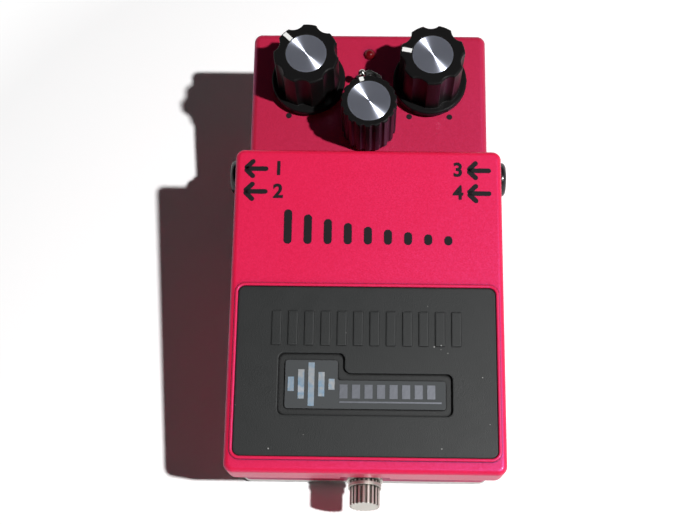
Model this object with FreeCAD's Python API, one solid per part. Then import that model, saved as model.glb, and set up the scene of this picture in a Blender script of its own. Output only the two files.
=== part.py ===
"""Compact delay pedal: die-cast case, hinged treadle, three knobs, four jacks and a battery bay.

Millimetres. X is to the player's right, Y is to the rear, Z is up. The origin is on the
surface that the pedal stands on, below the middle of its overall box.
"""
import FreeCAD
import Part
import math
import os

V = FreeCAD.Vector
X_AXIS, Y_AXIS, Z_AXIS = V(1, 0, 0), V(0, 1, 0), V(0, 0, 1)

# Whole pedal: both sloping tops share one angle, the treadle lies above the control deck.
# The bay is as wide and long as its battery, spring and front well need, and the rest goes round it.
top_slope = 12.0
treadle_rear_y = 17.0
treadle_rear_z = 50.8
deck_rear_z = 42.4
rear_length = 43.5
case_inset = 1.7
wall = 2.2
corner_radius = 2.2
deck_edge_radius = 1.6
treadle_edge_radius = 1.3

# Base
mat_thickness = 2.2
mat_margin = 1.2
plate_thickness = 1.2
base_screw_radius = 1.5
base_screw_head_radius = 2.8
base_screw_head_height = 1.2
base_screw_length = 5.0
base_screw_inset_x = 5.8
base_screw_inset_y = 5.8

# Treadle casting
skirt_depth = 10.8
skirt_wall = 1.9
treadle_plate = 2.6
front_notch_width = 12.0
front_notch_height = 3.0
hinge_inset = 6.2
hinge_drop = 7.0

# Bay under the treadle
ledge_drop = 14.6
rim_drop = 6.0
rim_side_gap = 1.2
rim_wall = 2.0
front_wall_setback = 4.4
well_floor_z = 8.4
shelf_floor_z = 20.0
shelf_length = 17.8
battery_floor_z = 13.8
bay_floor = 1.8
partition_setback = 7.6
well_length = 11.4

# Hinge
pin_radius = 1.5
pin_head_radius = 2.3
pin_head_height = 0.8
running_gap = 0.05
bush_radius = 2.5
bush_flange_radius = 3.6
bush_flange = 0.7
ear_radius = 3.8
clip_thickness = 0.6
clip_radius = 2.6

# Thumbscrew
screw_axis_z = 18.8
screw_thread_radius = 2.45
screw_tip_radius = 1.7
screw_head_radius = 3.65
screw_ring_radius = 4.05
screw_head_length = 6.15
screw_ring_width = 0.8
screw_ring_setback = 4.5
screw_teeth = 20
screw_tooth_depth = 0.5
screw_tooth_share = 0.42
screw_groove_low = 0.55
screw_groove_high = 0.87
screw_travel = 4.8
screw_tip_reach = 1.8
washer_thickness = 0.6
washer_radius = 4.4
insert_radius = 3.4
insert_flange_radius = 4.5
insert_flange = 0.8

# Tongue that the thumbscrew's tip holds down
tongue_width = 11.0
tongue_thickness = 2.2
tongue_setback = 12.7
tongue_below_screw = 6.4
bush_slot_play = 2.6
bush_side = 1.7
bush_flange_lip = 1.0
bush_plate = 0.6

# Return spring and foot switch
spring_setback = 9.35
spring_wire = 1.2
spring_radius = 4.8
spring_turns = 6.0
seat_flange = 1.4
switch_board_side_gap = 0.9
switch_board_gap = 1.5
switch_board_thickness = 1.6
switch_height = 6.0
switch_size = 8.0
plunger_radius = 2.0
plunger_rise = 3.9
plunger_floor = 1.5
switch_board_half_x = 9.0
switch_board_half_y = 6.5
press_angle = 2.2
actuator_radius = 3.4
actuator_stem_radius = 1.5
actuator_gap = 0.35
actuator_roof = 0.9
actuator_stem = 2.2
sleeve_play = 0.6
cup_plate = 1.4
cup_skirt = 2.0
cup_wall = 1.0
board_screw_radius = 1.0
board_screw_head_radius = 1.9
board_screw_head_height = 1.1
board_screw_length = 4.6

# Jacks
jack_setback = 7.5
jack_spacing = 12.5
jack_body = 11.2
jack_body_length = 20.0
jack_body_edge = 0.8
jack_thread_radius = 4.6
jack_bore_radius = 3.2
jack_reach = 5.5
jack_edge = 1.2
jack_nut_flats = 11.6
jack_nut_thickness = 2.0
jack_washer = 0.5
jack_washer_radius = 5.7
contact_thickness = 0.4
contact_width = 3.0
contact_insets = (5.6, 15.6)

# Power socket in the rear wall
dc_z = 18.0
dc_body_width = 10.0
dc_body_length = 13.0
dc_thread_radius = 4.6
dc_bore_radius = 2.9
dc_pin_radius = 1.05
dc_reach = 4.0
dc_edge = 0.6
dc_bore_depth = 10.0
dc_nut_flats = 11.5
dc_nut_thickness = 2.2

# Controls on the deck, places measured down the slope from the deck's rear edge
side_knob_x = 16.1
side_knob_setback = 15.25
centre_knob_setback = 28.1
knob_top = 18.5
knob_gap = 1.9
pot_radius = 7.7
pot_depth = 8.6
pot_thread_radius = 3.5
pot_thread_rise = 4.2
pot_nut_flats = 10.0
pot_nut_thickness = 1.8
shaft_radius = 3.0
shaft_rise = 12.5
shaft_low = -6.0
side_skirt_radius = 9.75
side_skirt_height = 1.6
side_knob_radius = 8.3
side_lobes = 7
side_scallop_radius = 3.1
side_scallop_depth = 0.95
side_cap_radius = 5.2
centre_knob_radius = 7.1
centre_flutes = 18
centre_flute_radius = 0.75
centre_flute_depth = 0.45
centre_cap_radius = 5.4
cap_thickness = 0.5
knob_edge = 0.5
pointer_width = 1.15
pointer_stand = 0.15
pointer_inset = 0.8
pointer_end_gap = 0.4
pointer_cap_gap = 0.2
cap_stand = 0.05
left_pointer_angle = 46.0
right_pointer_angle = 80.0
centre_pointer_angle = 18.4

led_setback = 6.5
led_radius = 1.5
led_dome_rise = 1.4
led_flange = 1.2
led_flange_radius = 1.9
led_spacer_radius = 1.3
led_spacer_wall = 0.5
toggle_setback = 15.2
toggle_lean = 15.0
toggle_throw = 30.0
toggle_body_x = 8.0
toggle_body_y = 5.0
toggle_body_depth = 7.0
toggle_thread_radius = 2.4
toggle_thread_rise = 2.6
toggle_nut_flats = 6.6
toggle_nut_thickness = 1.2
toggle_lever_length = 7.2
toggle_lever_radius = 0.7
toggle_ball_radius = 1.05
toggle_collar_wall = 0.5

# Rubber pad and badge on the treadle, places measured down the slope from its rear edge
pad_side_margin = 2.15
pad_rear = 35.6
pad_front_margin = 3.85
pad_thickness = 1.2
pad_rim = 0.9
pad_rim_rise = 0.45
pad_rim_edge = 0.35
pad_corner = 1.6
badge_left = -19.1
badge_right = 18.8
badge_corner = 0.6
badge_square_width = 12.4
badge_rear = 53.5
badge_step = 4.8
badge_bar_depth = 6.75
badge_thickness = 0.5
badge_recess_margin = 1.7
badge_recess_depth = 0.9
symbol_rise = 0.12
symbol_margin = 1.0
symbol_bar_width = 1.45
symbol_bar_pitch = 2.4
symbol_bar_lengths = (3.4, 7.0, 10.4, 5.8, 2.6)
dash_width = 1.9
dash_pitch = 2.95
dash_length = 3.3
dash_count = 8
line_width = 0.35
line_gap = 0.7
pad_rib_count = 12
pad_rib_width = 2.2
pad_rib_rise = 0.25
pad_ribs_half_width = 23.4
pad_ribs_rear = 41.65
pad_ribs_front = 49.95

# Boards and what they carry
board_thickness = 1.6
main_board_z = 5.6
board_side_gap = 2.1
board_front_gap = 7.45
board_rear_gap = 2.0
control_board_drop = 12.0
control_board_side_gap = 3.1
control_board_rear = 6.0
control_board_front = 30.0
control_board_tab = 16.0
control_board_tab_front = 36.5

low_capacitor_radius = 2.5
low_capacitor_places = (-18.0, -9.0, 2.0, 14.0, 20.0)
tall_capacitor_radius = 3.15
tall_capacitor_height = 9.0
capacitor_inset = 8.0
tall_capacitor_places = (-22.0, -13.0, 13.0, 22.0)
chip_width = 6.4
chip_height = 3.3
chip_places = ((-14.0, 22.0, 10.0), (2.0, 22.0, 10.0), (-14.0, 34.0, 19.0), (0.0, 63.0, 7.5))

# Battery
battery_width = 46.4
battery_depth = 26.5
battery_height = 17.5
battery_end_gap = 1.3
snap_end_gap = 2.5
battery_front_gap = 2.25
battery_corner = 1.5
battery_terminal = 2.2
battery_terminal_radius = 3.1
battery_terminal_spacing = 12.7
snap_thickness = 3.4
snap_width = 24.0
snap_height = 12.0
snap_corner = 1.2
lead_radius = 0.65

# Fits: seat_gap is for pieces that are fixed together
seat_gap = 0.05
hole_gap = 0.1
free_gap = 0.3


# Values worked out from the ones above
sine = math.sin(math.radians(top_slope))
cosine = math.cos(math.radians(top_slope))
tangent = math.tan(math.radians(top_slope))
rear_wall_y = treadle_rear_y + rear_length
case_floor_z = mat_thickness + plate_thickness
bay_half = (battery_end_gap + battery_width + battery_terminal + snap_thickness + snap_end_gap) / 2
rim_half = bay_half + rim_wall
treadle_half = rim_half + rim_side_gap + skirt_wall
treadle_width = 2 * treadle_half
case_half = treadle_half - case_inset
inner_half = case_half - wall
pad_width = treadle_width - 2 * pad_side_margin
above_all = 2 * treadle_rear_z

partition_rear_y = treadle_rear_y - partition_setback
partition_front_y = partition_rear_y - rim_wall
shelf_rear_y = partition_front_y - free_gap - battery_depth - battery_front_gap
well_rear_y = shelf_rear_y - shelf_length
bay_front_y = well_rear_y - well_length
case_front_y = bay_front_y - rim_wall
skirt_front_y = case_front_y - front_wall_setback
treadle_length = skirt_wall + (treadle_rear_y + skirt_depth * sine - skirt_front_y) / cosine
pad_length = treadle_length - pad_rear - pad_front_margin


def treadle_point(x, s, n):
    """A place from treadle coordinates: s runs up the slope to its rear edge, n is square to its top."""
    return V(x, treadle_rear_y + s * cosine - n * sine, treadle_rear_z + s * sine + n * cosine)


def deck_point(x, s, n):
    """A place from deck coordinates: s runs up the slope to the deck's rear edge."""
    return V(x, rear_wall_y + s * cosine - n * sine, deck_rear_z + s * sine + n * cosine)


def treadle_z(y, drop=0.0):
    """Height of the plane that lies drop below the treadle's top."""
    return treadle_rear_z - (treadle_rear_y - y) * tangent - drop / cosine


def deck_z(y, drop=0.0):
    """Height of the plane that lies drop below the deck's top."""
    return deck_rear_z - (rear_wall_y - y) * tangent - drop / cosine


hinge = treadle_point(0, -hinge_inset, -hinge_drop)
rear_inner_y = rear_wall_y - wall
spring_y = shelf_rear_y - spring_setback
cup_radius = spring_radius + spring_wire / 2 + free_gap + cup_wall
seat_top_z = shelf_floor_z + seat_flange
spring_top_z = treadle_z(spring_y - cup_radius, treadle_plate) - hole_gap - cup_plate
spring_height = spring_top_z - seat_top_z
switch_x = switch_board_half_x + switch_board_side_gap - bay_half
switch_board_z = shelf_floor_z + switch_board_gap
switch_top_z = switch_board_z + switch_board_thickness + switch_height
plunger_top_z = switch_top_z + plunger_rise
board_top_z = main_board_z + board_thickness
main_board_half = inner_half - board_side_gap
main_board_front = well_rear_y + rim_wall + board_front_gap
control_board_half = inner_half - control_board_side_gap
jack_y = treadle_rear_y + jack_setback
lower_jack_z = board_top_z + hole_gap + jack_body / 2
upper_jack_z = lower_jack_z + jack_spacing
screw_head_inner_y = case_front_y - screw_travel - washer_thickness - 2 * seat_gap
base_screw_places = [(x, y) for x in (base_screw_inset_x - case_half, case_half - base_screw_inset_x)
                     for y in (case_front_y + base_screw_inset_y, rear_wall_y - base_screw_inset_y)]
post_radius = base_screw_inset_x - wall / 2
main_board_rear = rear_wall_y - base_screw_inset_y - post_radius - board_rear_gap
tongue_front = tongue_setback - treadle_length
badge_low = seat_gap / 2 - badge_recess_depth
badge_bar_rear = badge_rear + badge_step
badge_front = badge_bar_rear + badge_bar_depth
screw_n = (screw_axis_z - treadle_rear_z - tongue_front * sine) / cosine
press_travel = abs(spring_y - hinge.y) * math.sin(math.radians(press_angle))
sleeve_depth = press_travel + 2 * free_gap
actuator_rise = sleeve_depth + actuator_roof
actuator_boss_z = plunger_top_z + actuator_gap + actuator_rise


def on_treadle(shape):
    """Put a shape drawn in treadle coordinates into its place on the treadle."""
    placed = shape.copy()
    placed.Placement = FreeCAD.Placement(treadle_point(0, 0, 0), FreeCAD.Rotation(X_AXIS, top_slope))
    return placed


def on_deck(shape, x=0.0, setback=0.0, turn=0.0):
    """Put a shape drawn about its own axis on the deck: x from the middle, setback from the rear."""
    placed = shape.copy()
    placed.rotate(V(0, 0, 0), Z_AXIS, turn)
    slope = FreeCAD.Placement(deck_point(x, -setback, 0), FreeCAD.Rotation(X_AXIS, top_slope))
    placed.Placement = slope.multiply(placed.Placement)
    return placed


def box(x0, x1, y0, y1, z0, z1):
    return Part.makeBox(x1 - x0, y1 - y0, z1 - z0, V(x0, y0, z0))


def rod(radius, start, end):
    """A round rod from start to end."""
    return Part.makeCylinder(radius, (end - start).Length, start, end - start)


def tube(outer, inner, start, end):
    return rod(outer, start, end).cut(rod(inner, start, end))


def prism(points, x0, x1):
    """A side profile of (y, z) points, drawn out from x0 to x1."""
    outline = [V(x0, y, z) for y, z in points]
    return Part.Face(Part.makePolygon(outline + outline[:1])).extrude(V(x1 - x0, 0, 0))


def hexagon(flats, start, end):
    """A hexagonal bar from start to end; along X it has its flats above and below."""
    radius = flats / 2 / math.cos(math.pi / 6)
    corners = []
    for k in range(7):
        angle = (k + 0.5) * math.pi / 3
        corners.append(V(radius * math.cos(angle), radius * math.sin(angle), 0))
    bar = Part.Face(Part.makePolygon(corners)).extrude(V(0, 0, (end - start).Length))
    bar.Placement = FreeCAD.Placement(start, FreeCAD.Rotation(Z_AXIS, end - start))
    return bar


def nut(flats, inner, start, end):
    """A hexagonal nut with its outer corners rounded off."""
    round_off = rod(flats / 2 * 1.1, start, end)
    return hexagon(flats, start, end).common(round_off).cut(rod(inner, start, end))


def round_edges(solid, radius, wanted):
    """Round the edges for which wanted(edge) holds."""
    return solid.makeFillet(radius, [edge for edge in solid.Edges if wanted(edge)])


def runs_along(edge, axis, least=0.0):
    """True for a straight edge along axis that is longer than least."""
    if not isinstance(edge.Curve, Part.Line) or edge.Length <= least:
        return False
    return abs(abs(edge.Curve.Direction.dot(axis)) - 1) < 1e-6


def joined(shapes):
    """One solid from several that touch or overlap."""
    result = shapes[0]
    for shape in shapes[1:]:
        result = result.fuse(shape)
    return result.removeSplitter()


def group(shapes):
    """Several separate solids under one node."""
    return Part.makeCompound(shapes)


def both_sides(shape):
    """A shape and its mirror image across the middle of the pedal."""
    return [shape, shape.mirror(V(0, 0, 0), X_AXIS)]


def case():
    """Die-cast case: control deck, walls and the stepped floor of the bay under the treadle."""
    outline = [(case_front_y, case_floor_z), (rear_wall_y, case_floor_z), (rear_wall_y, deck_rear_z),
               (treadle_rear_y, deck_z(treadle_rear_y)), (treadle_rear_y, treadle_z(treadle_rear_y, ledge_drop)),
               (case_front_y, treadle_z(case_front_y, ledge_drop))]
    body = prism(outline, -case_half, case_half)
    body = round_edges(body, corner_radius, lambda edge: runs_along(edge, Z_AXIS, ledge_drop / 2))
    deck_plane = deck_point(0, 0, 0)
    deck_normal = V(0, -sine, cosine)

    def borders_deck(edge):
        on_plane = all(abs((vertex.Point - deck_plane).dot(deck_normal)) < 1e-4 for vertex in edge.Vertexes)
        return on_plane and edge.CenterOfMass.y > treadle_rear_y + wall

    body = round_edges(body, deck_edge_radius, borders_deck)
    rim = prism([(case_front_y, shelf_floor_z - bay_floor), (partition_rear_y, battery_floor_z),
                 (partition_rear_y, treadle_z(partition_rear_y, rim_drop)),
                 (case_front_y, treadle_z(case_front_y, rim_drop))], -rim_half, rim_half)
    rim = round_edges(rim, corner_radius / 2, lambda edge: runs_along(edge, Z_AXIS))
    body = body.fuse(rim)
    ears = []
    for ear in both_sides(rod(ear_radius, V(bay_half, 0, 0) + hinge, V(rim_half, 0, 0) + hinge)):
        ears.append(ear)
    neck = on_treadle(box(bay_half, rim_half, -2 * hinge_inset, -hinge_inset,
                          -hinge_drop - ear_radius, -hinge_drop + ear_radius))
    body = joined([body] + ears + both_sides(neck))

    bay = prism([(bay_front_y, well_floor_z), (well_rear_y, well_floor_z), (well_rear_y, shelf_floor_z),
                 (shelf_rear_y, shelf_floor_z), (shelf_rear_y, battery_floor_z),
                 (partition_front_y, battery_floor_z), (partition_front_y, above_all),
                 (bay_front_y, above_all)], -bay_half, bay_half)
    under_shelf_y = well_rear_y + rim_wall
    under_battery_y = shelf_rear_y - rim_wall
    below = prism([(under_shelf_y, 0), (under_shelf_y, shelf_floor_z - bay_floor),
                   (under_battery_y, shelf_floor_z - bay_floor), (under_battery_y, battery_floor_z - bay_floor),
                   (partition_rear_y, battery_floor_z - bay_floor),
                   (partition_rear_y, treadle_z(partition_rear_y, ledge_drop + wall)),
                   (treadle_rear_y, deck_z(treadle_rear_y, wall)),
                   (rear_inner_y, deck_z(rear_inner_y, wall)), (rear_inner_y, 0)], -inner_half, inner_half)
    body = body.cut(bay).cut(below)
    post_top = V(0, 0, deck_z(rear_inner_y, wall) / 2)
    posts = []
    for x, y in base_screw_places:
        if y > 0:
            posts.append(rod(post_radius, V(x, y, case_floor_z), V(x, y, 0) + post_top))
    body = joined([body] + posts)
    return body.cut(group(case_holes()))


def case_holes():
    """Everything that is drilled, cored or notched in the case."""
    holes = []
    for x, y in base_screw_places:
        depth = base_screw_length + mat_thickness + 2 * hole_gap
        holes.append(rod(base_screw_radius + seat_gap, V(x, y, 0), V(x, y, depth)))
    for z in (upper_jack_z, lower_jack_z):
        holes.append(rod(jack_thread_radius + hole_gap, V(-treadle_width, jack_y, z), V(treadle_width, jack_y, z)))
    holes.append(rod(dc_thread_radius + hole_gap, V(0, rear_inner_y - wall, dc_z), V(0, rear_wall_y + wall, dc_z)))
    for x, setback in pot_places().values():
        drill = rod(pot_thread_radius + hole_gap, V(0, 0, -2 * wall), V(0, 0, wall))
        holes.append(on_deck(drill, x, setback))
    holes.append(on_deck(rod(led_radius + seat_gap, V(0, 0, -2 * wall), V(0, 0, wall)), 0, led_setback))
    holes.append(on_deck(rod(toggle_thread_radius + hole_gap, V(0, 0, -2 * wall), V(0, 0, wall)), 0, toggle_setback))
    across = V(rim_half + wall, 0, 0)
    holes.append(rod(bush_radius + seat_gap, hinge - across, hinge + across))
    holes.append(rod(insert_radius + seat_gap, V(0, case_front_y - wall, screw_axis_z),
                     V(0, bay_front_y + seat_gap, screw_axis_z)))
    notch_z = screw_axis_z + insert_flange_radius + free_gap
    notch_half = tongue_width / 2 + bush_flange_lip + wall
    holes.append(box(-notch_half, notch_half, case_front_y - wall, bay_front_y + wall, notch_z, above_all))
    for x, y in lead_places():
        holes.append(rod(2 * lead_radius, V(x, y, case_floor_z), V(x, y, battery_floor_z + wall)))
    for x, y in switch_screw_places():
        holes.append(rod(board_screw_radius + seat_gap, V(x, y, shelf_floor_z - bay_floor - wall),
                         V(x, y, shelf_floor_z + wall)))
    return holes


def base_plate():
    """Steel plate that closes the case from below."""
    plate = box(-case_half, case_half, case_front_y, rear_wall_y, mat_thickness, case_floor_z)
    plate = round_edges(plate, corner_radius, lambda edge: runs_along(edge, Z_AXIS))
    holes = [rod(base_screw_radius + hole_gap, V(x, y, 0), V(x, y, case_floor_z)) for x, y in base_screw_places]
    return plate.cut(group(holes))


def base_mat():
    """Rubber sole with a clearance hole for each screw head."""
    mat = box(mat_margin - case_half, case_half - mat_margin, case_front_y + mat_margin,
              rear_wall_y - mat_margin, 0, mat_thickness)
    mat = round_edges(mat, corner_radius, lambda edge: runs_along(edge, Z_AXIS))
    holes = [rod(base_screw_head_radius + free_gap, V(x, y, 0), V(x, y, mat_thickness))
             for x, y in base_screw_places]
    return mat.cut(group(holes))


def base_screws():
    screws = []
    for x, y in base_screw_places:
        head = rod(base_screw_head_radius, V(x, y, mat_thickness - base_screw_head_height), V(x, y, mat_thickness))
        slot = box(x - base_screw_radius, x + base_screw_radius, y - hole_gap * 4, y + hole_gap * 4,
                   0, mat_thickness - base_screw_head_height / 2)
        shank = rod(base_screw_radius, V(x, y, mat_thickness - hole_gap), V(x, y, mat_thickness + base_screw_length))
        screws.append(head.cut(slot).fuse(shank))
    return group(screws)


def treadle():
    """Die-cast treadle: sloping plate, skirts, front tongue, spring boss and a rimmed bed for the pad."""
    shell = box(-treadle_half, treadle_half, -treadle_length, 0, -skirt_depth, 0)
    shell = round_edges(shell, corner_radius, lambda edge: runs_along(edge, Z_AXIS))
    shell = round_edges(shell, treadle_edge_radius, lambda edge: edge.CenterOfMass.z > -hole_gap)
    inner_radius = corner_radius - skirt_wall / 2
    hollow = box(skirt_wall - treadle_half, treadle_half - skirt_wall, skirt_wall - treadle_length, -skirt_wall,
                 -2 * skirt_depth, -treadle_plate)
    hollow = round_edges(hollow, inner_radius, lambda edge: runs_along(edge, Z_AXIS))
    shell = shell.cut(hollow)
    front_notch = box(-front_notch_width / 2, front_notch_width / 2, -treadle_length - wall,
                      skirt_wall + wall - treadle_length, -2 * skirt_depth, front_notch_height - skirt_depth)
    shell = shell.cut(front_notch)
    shell = joined([shell, pad_outline(-pad_thickness / 2, pad_rim_rise, pad_rim)])
    shell = shell.cut(pad_outline(-pad_thickness, 2 * pad_rim, hole_gap))
    shell = round_edges(shell, pad_rim_edge, lambda edge: abs(edge.CenterOfMass.z - pad_rim_rise) < seat_gap)
    shell = joined([shell, tongue()])

    body = on_treadle(shell)
    boss_top = treadle_z(spring_y, treadle_plate / 2)
    boss = rod(spring_radius, V(0, spring_y, spring_top_z + cup_plate), V(0, spring_y, boss_top))
    switch_boss_top = treadle_z(spring_y, treadle_plate / 2)
    switch_boss = rod(actuator_radius + rim_wall, V(switch_x, spring_y, actuator_boss_z),
                      V(switch_x, spring_y, switch_boss_top))
    body = joined([body, boss, switch_boss]).cut(on_treadle(pad_outline(-pad_thickness, 2 * pad_rim, hole_gap)))
    socket = rod(actuator_stem_radius + seat_gap, V(switch_x, spring_y, actuator_boss_z),
                 V(switch_x, spring_y, actuator_boss_z + actuator_stem + seat_gap))
    across = V(treadle_width, 0, 0)
    pin_holes = rod(pin_radius + running_gap, hinge - across, hinge + across)
    head_depth = V(treadle_half - pin_head_height - hole_gap - seat_gap, 0, 0)
    head_bed = rod(pin_head_radius + hole_gap, hinge + head_depth, hinge + across)
    return body.cut(group([socket, pin_holes] + both_sides(head_bed)))


def pad_outline(low, high, gap=0.0):
    """The pad's rounded rectangle in treadle coordinates, wider all round by gap."""
    shape = box(-pad_width / 2 - gap, pad_width / 2 + gap, -pad_rear - pad_length - gap, gap - pad_rear, low, high)
    return round_edges(shape, pad_corner + gap, lambda edge: runs_along(edge, Z_AXIS))


def tongue():
    """Plate that hangs from the treadle behind the case's front wall, with a window for its bush."""
    front = tongue_front
    low = screw_n - tongue_below_screw
    plate = box(-tongue_width / 2, tongue_width / 2, front, front + tongue_thickness, low, -treadle_plate / 2)
    plate = round_edges(plate, tongue_thickness / 2, lambda edge: runs_along(edge, Y_AXIS)
                        and edge.CenterOfMass.z < screw_n)
    gusset_points = [V(-skirt_wall / 2, front + tongue_thickness / 2, -treadle_plate / 2),
                     V(-skirt_wall / 2, front + 3 * tongue_thickness, -treadle_plate / 2),
                     V(-skirt_wall / 2, front + tongue_thickness / 2, -skirt_depth)]
    gusset = Part.Face(Part.makePolygon(gusset_points + gusset_points[:1])).extrude(V(skirt_wall, 0, 0))
    return joined([plate, gusset]).cut(bush_core(seat_gap, wall))


def bush_core(gap, overlap):
    """The guide bush's body in treadle coordinates, larger by gap and longer by overlap."""
    front = tongue_front
    half = screw_tip_radius + bush_side + gap
    low = screw_n - screw_tip_radius - bush_side - gap
    high = screw_n + screw_tip_radius + bush_slot_play + bush_side + gap
    return box(-half, half, front - overlap, front + tongue_thickness + overlap, low, high)


def guide_bush():
    """Nylon bush with an upright slot, bored level like the thumbscrew: the screw's tip holds the closed
    treadle but lets it be pressed."""
    front = tongue_front
    body = bush_core(0, seat_gap)
    half = screw_tip_radius + bush_side + bush_flange_lip
    low = screw_n - screw_tip_radius - bush_side - bush_flange_lip
    high = screw_n + screw_tip_radius + bush_slot_play + bush_side + bush_flange_lip
    flange = box(-half, half, front - bush_plate - seat_gap, front - seat_gap, low, high)
    slot_radius = screw_tip_radius + 2 * hole_gap

    def slot_point(s, rise):
        return V(-slot_radius, s, screw_n + rise - (s - front) * sine / cosine)

    ends = (front - wall, front + tongue_thickness + wall)
    corners = [slot_point(s, rise) for s, rise in ((ends[0], 0), (ends[1], 0), (ends[1], bush_slot_play),
                                                   (ends[0], bush_slot_play))]
    slot = [Part.Face(Part.makePolygon(corners + corners[:1])).extrude(V(2 * slot_radius, 0, 0))]
    for rise in (0, bush_slot_play):
        start, end = [slot_point(s, rise) + V(slot_radius, 0, 0) for s in ends]
        slot.append(rod(slot_radius, start, end))
    return on_treadle(joined([body, flange]).cut(joined(slot)))


def treadle_pad():
    """Rubber pad with a row of raised ribs and a stepped recess for the badge."""
    pad = pad_outline(-pad_thickness, 0)
    pad = pad.cut(badge_outline(-badge_recess_depth, wall, badge_recess_margin))
    pitch = 2 * pad_ribs_half_width / pad_rib_count
    ribs = []
    for k in range(pad_rib_count):
        middle = (k + 0.5) * pitch - pad_ribs_half_width
        ribs.append(box(middle - pad_rib_width / 2, middle + pad_rib_width / 2,
                        -pad_ribs_front, -pad_ribs_rear, -pad_thickness / 2, pad_rib_rise))
    return on_treadle(joined([pad] + ribs))


def badge_outline(low, high, grow=0.0):
    """The badge's L shape in treadle coordinates: a square with a bar to its right."""
    left, right, front = badge_left - grow, badge_right + grow, -badge_front - grow
    step = badge_left + badge_square_width + grow
    corners = [(left, front), (right, front), (right, grow - badge_bar_rear), (step, grow - badge_bar_rear),
               (step, grow - badge_rear), (left, grow - badge_rear)]
    outline = [V(x, s, low) for x, s in corners]
    shape = Part.Face(Part.makePolygon(outline + outline[:1])).extrude(V(0, 0, high - low))
    return round_edges(shape, badge_corner + grow / 2, lambda edge: runs_along(edge, Z_AXIS))


def badge_plate():
    return on_treadle(badge_outline(badge_low, badge_low + badge_thickness))


def badge_symbol():
    """Silver foil on the badge: a plain row of level bars, then dashes over a thin line."""
    low, high = badge_low + badge_thickness, badge_low + badge_thickness + symbol_rise
    marks = []
    centre_x = badge_left + badge_square_width / 2
    centre_s = -(badge_rear + badge_front) / 2
    for k, length in enumerate(symbol_bar_lengths):
        x = centre_x + (k - (len(symbol_bar_lengths) - 1) / 2) * symbol_bar_pitch
        marks.append(box(x - symbol_bar_width / 2, x + symbol_bar_width / 2,
                         centre_s - length / 2, centre_s + length / 2, low, high))
    first_x = badge_left + badge_square_width + symbol_margin / 2
    dash_rear = -badge_bar_rear - symbol_margin
    for k in range(dash_count):
        x = first_x + k * dash_pitch
        marks.append(box(x, x + dash_width, dash_rear - dash_length, dash_rear, low, high))
    line_rear = dash_rear - dash_length - line_gap
    marks.append(box(first_x, badge_right - symbol_margin, line_rear - line_width, line_rear, low, high))
    return on_treadle(group(marks))


def hinge_pins():
    """Headed steel pins from the skirts into the bushes in the case's ears."""
    head_end = V(treadle_half - seat_gap, 0, 0) + hinge
    head_start = head_end - V(pin_head_height, 0, 0)
    tip = V(bay_half - hole_gap - 2 * clip_thickness - seat_gap, 0, 0) + hinge
    pin = joined([rod(pin_head_radius, head_start, head_end), rod(pin_radius, tip, head_start)])
    return group(both_sides(pin))


def pin_clips():
    """Spring clips that hold the pins from inside the bay."""
    outer = V(bay_half - 2 * hole_gap, 0, 0) + hinge
    inner = outer - V(clip_thickness, 0, 0)
    clip = tube(clip_radius, pin_radius, inner, outer)
    gap = box(inner.x, outer.x, hinge.y - pin_radius * 0.8, hinge.y + pin_radius * 0.8,
              hinge.z - 2 * clip_radius, hinge.z - pin_radius * 0.6)
    return group(both_sides(clip.cut(gap)))


def hinge_bushes():
    """Flanged nylon bushes in the case's ears."""
    start, end = V(bay_half, 0, 0) + hinge, V(rim_half + seat_gap, 0, 0) + hinge
    sleeve = rod(bush_radius, start, end)
    flange = rod(bush_flange_radius, end, end + V(bush_flange, 0, 0))
    bore = rod(pin_radius + running_gap, start - V(wall, 0, 0), end + V(wall, 0, 0))
    return group(both_sides(joined([sleeve, flange]).cut(bore)))


def thumbscrew():
    """Knurled thumbscrew, drawn backed off so that its tip is clear of the tongue."""
    inner = V(0, screw_head_inner_y, screw_axis_z)
    end = inner - V(0, screw_head_length, 0)
    points = []
    for k in range(screw_teeth):
        for share, radius in ((0.0, screw_head_radius), (screw_tooth_share, screw_head_radius),
                              (screw_groove_low, screw_head_radius - screw_tooth_depth),
                              (screw_groove_high, screw_head_radius - screw_tooth_depth)):
            angle = (k + share) * 2 * math.pi / screw_teeth
            points.append(V(radius * math.cos(angle), 0, radius * math.sin(angle)) + end)
    knurl = Part.Face(Part.makePolygon(points + points[:1])).extrude(inner - end)
    ring_start = end + V(0, screw_ring_setback, 0)
    ring = rod(screw_ring_radius, ring_start, ring_start + V(0, screw_ring_width, 0))
    bush_front_y = treadle_point(0, tongue_front - bush_plate - seat_gap, screw_n + screw_thread_radius).y
    thread_end = V(0, bush_front_y - free_gap - screw_travel, screw_axis_z)
    tip_end = V(0, bay_front_y + insert_flange + seat_gap + screw_tip_reach, screw_axis_z)
    thread = rod(screw_thread_radius, inner - V(0, wall, 0), thread_end)
    tip = rod(screw_tip_radius, thread_end - V(0, wall, 0), tip_end)
    return joined([knurl, ring, thread, tip])


def thumbscrew_washer():
    start = V(0, screw_head_inner_y + seat_gap, screw_axis_z)
    return tube(washer_radius, screw_thread_radius + running_gap, start, start + V(0, washer_thickness, 0))


def thread_insert():
    """Flanged brass insert pressed into the case's front wall from inside."""
    start, seat = V(0, case_front_y, screw_axis_z), V(0, bay_front_y + seat_gap, screw_axis_z)
    end = seat + V(0, insert_flange, 0)
    body = joined([rod(insert_radius, start, seat), rod(insert_flange_radius, seat, end)])
    return body.cut(rod(screw_thread_radius + running_gap, start - Y_AXIS, end + Y_AXIS))


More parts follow.
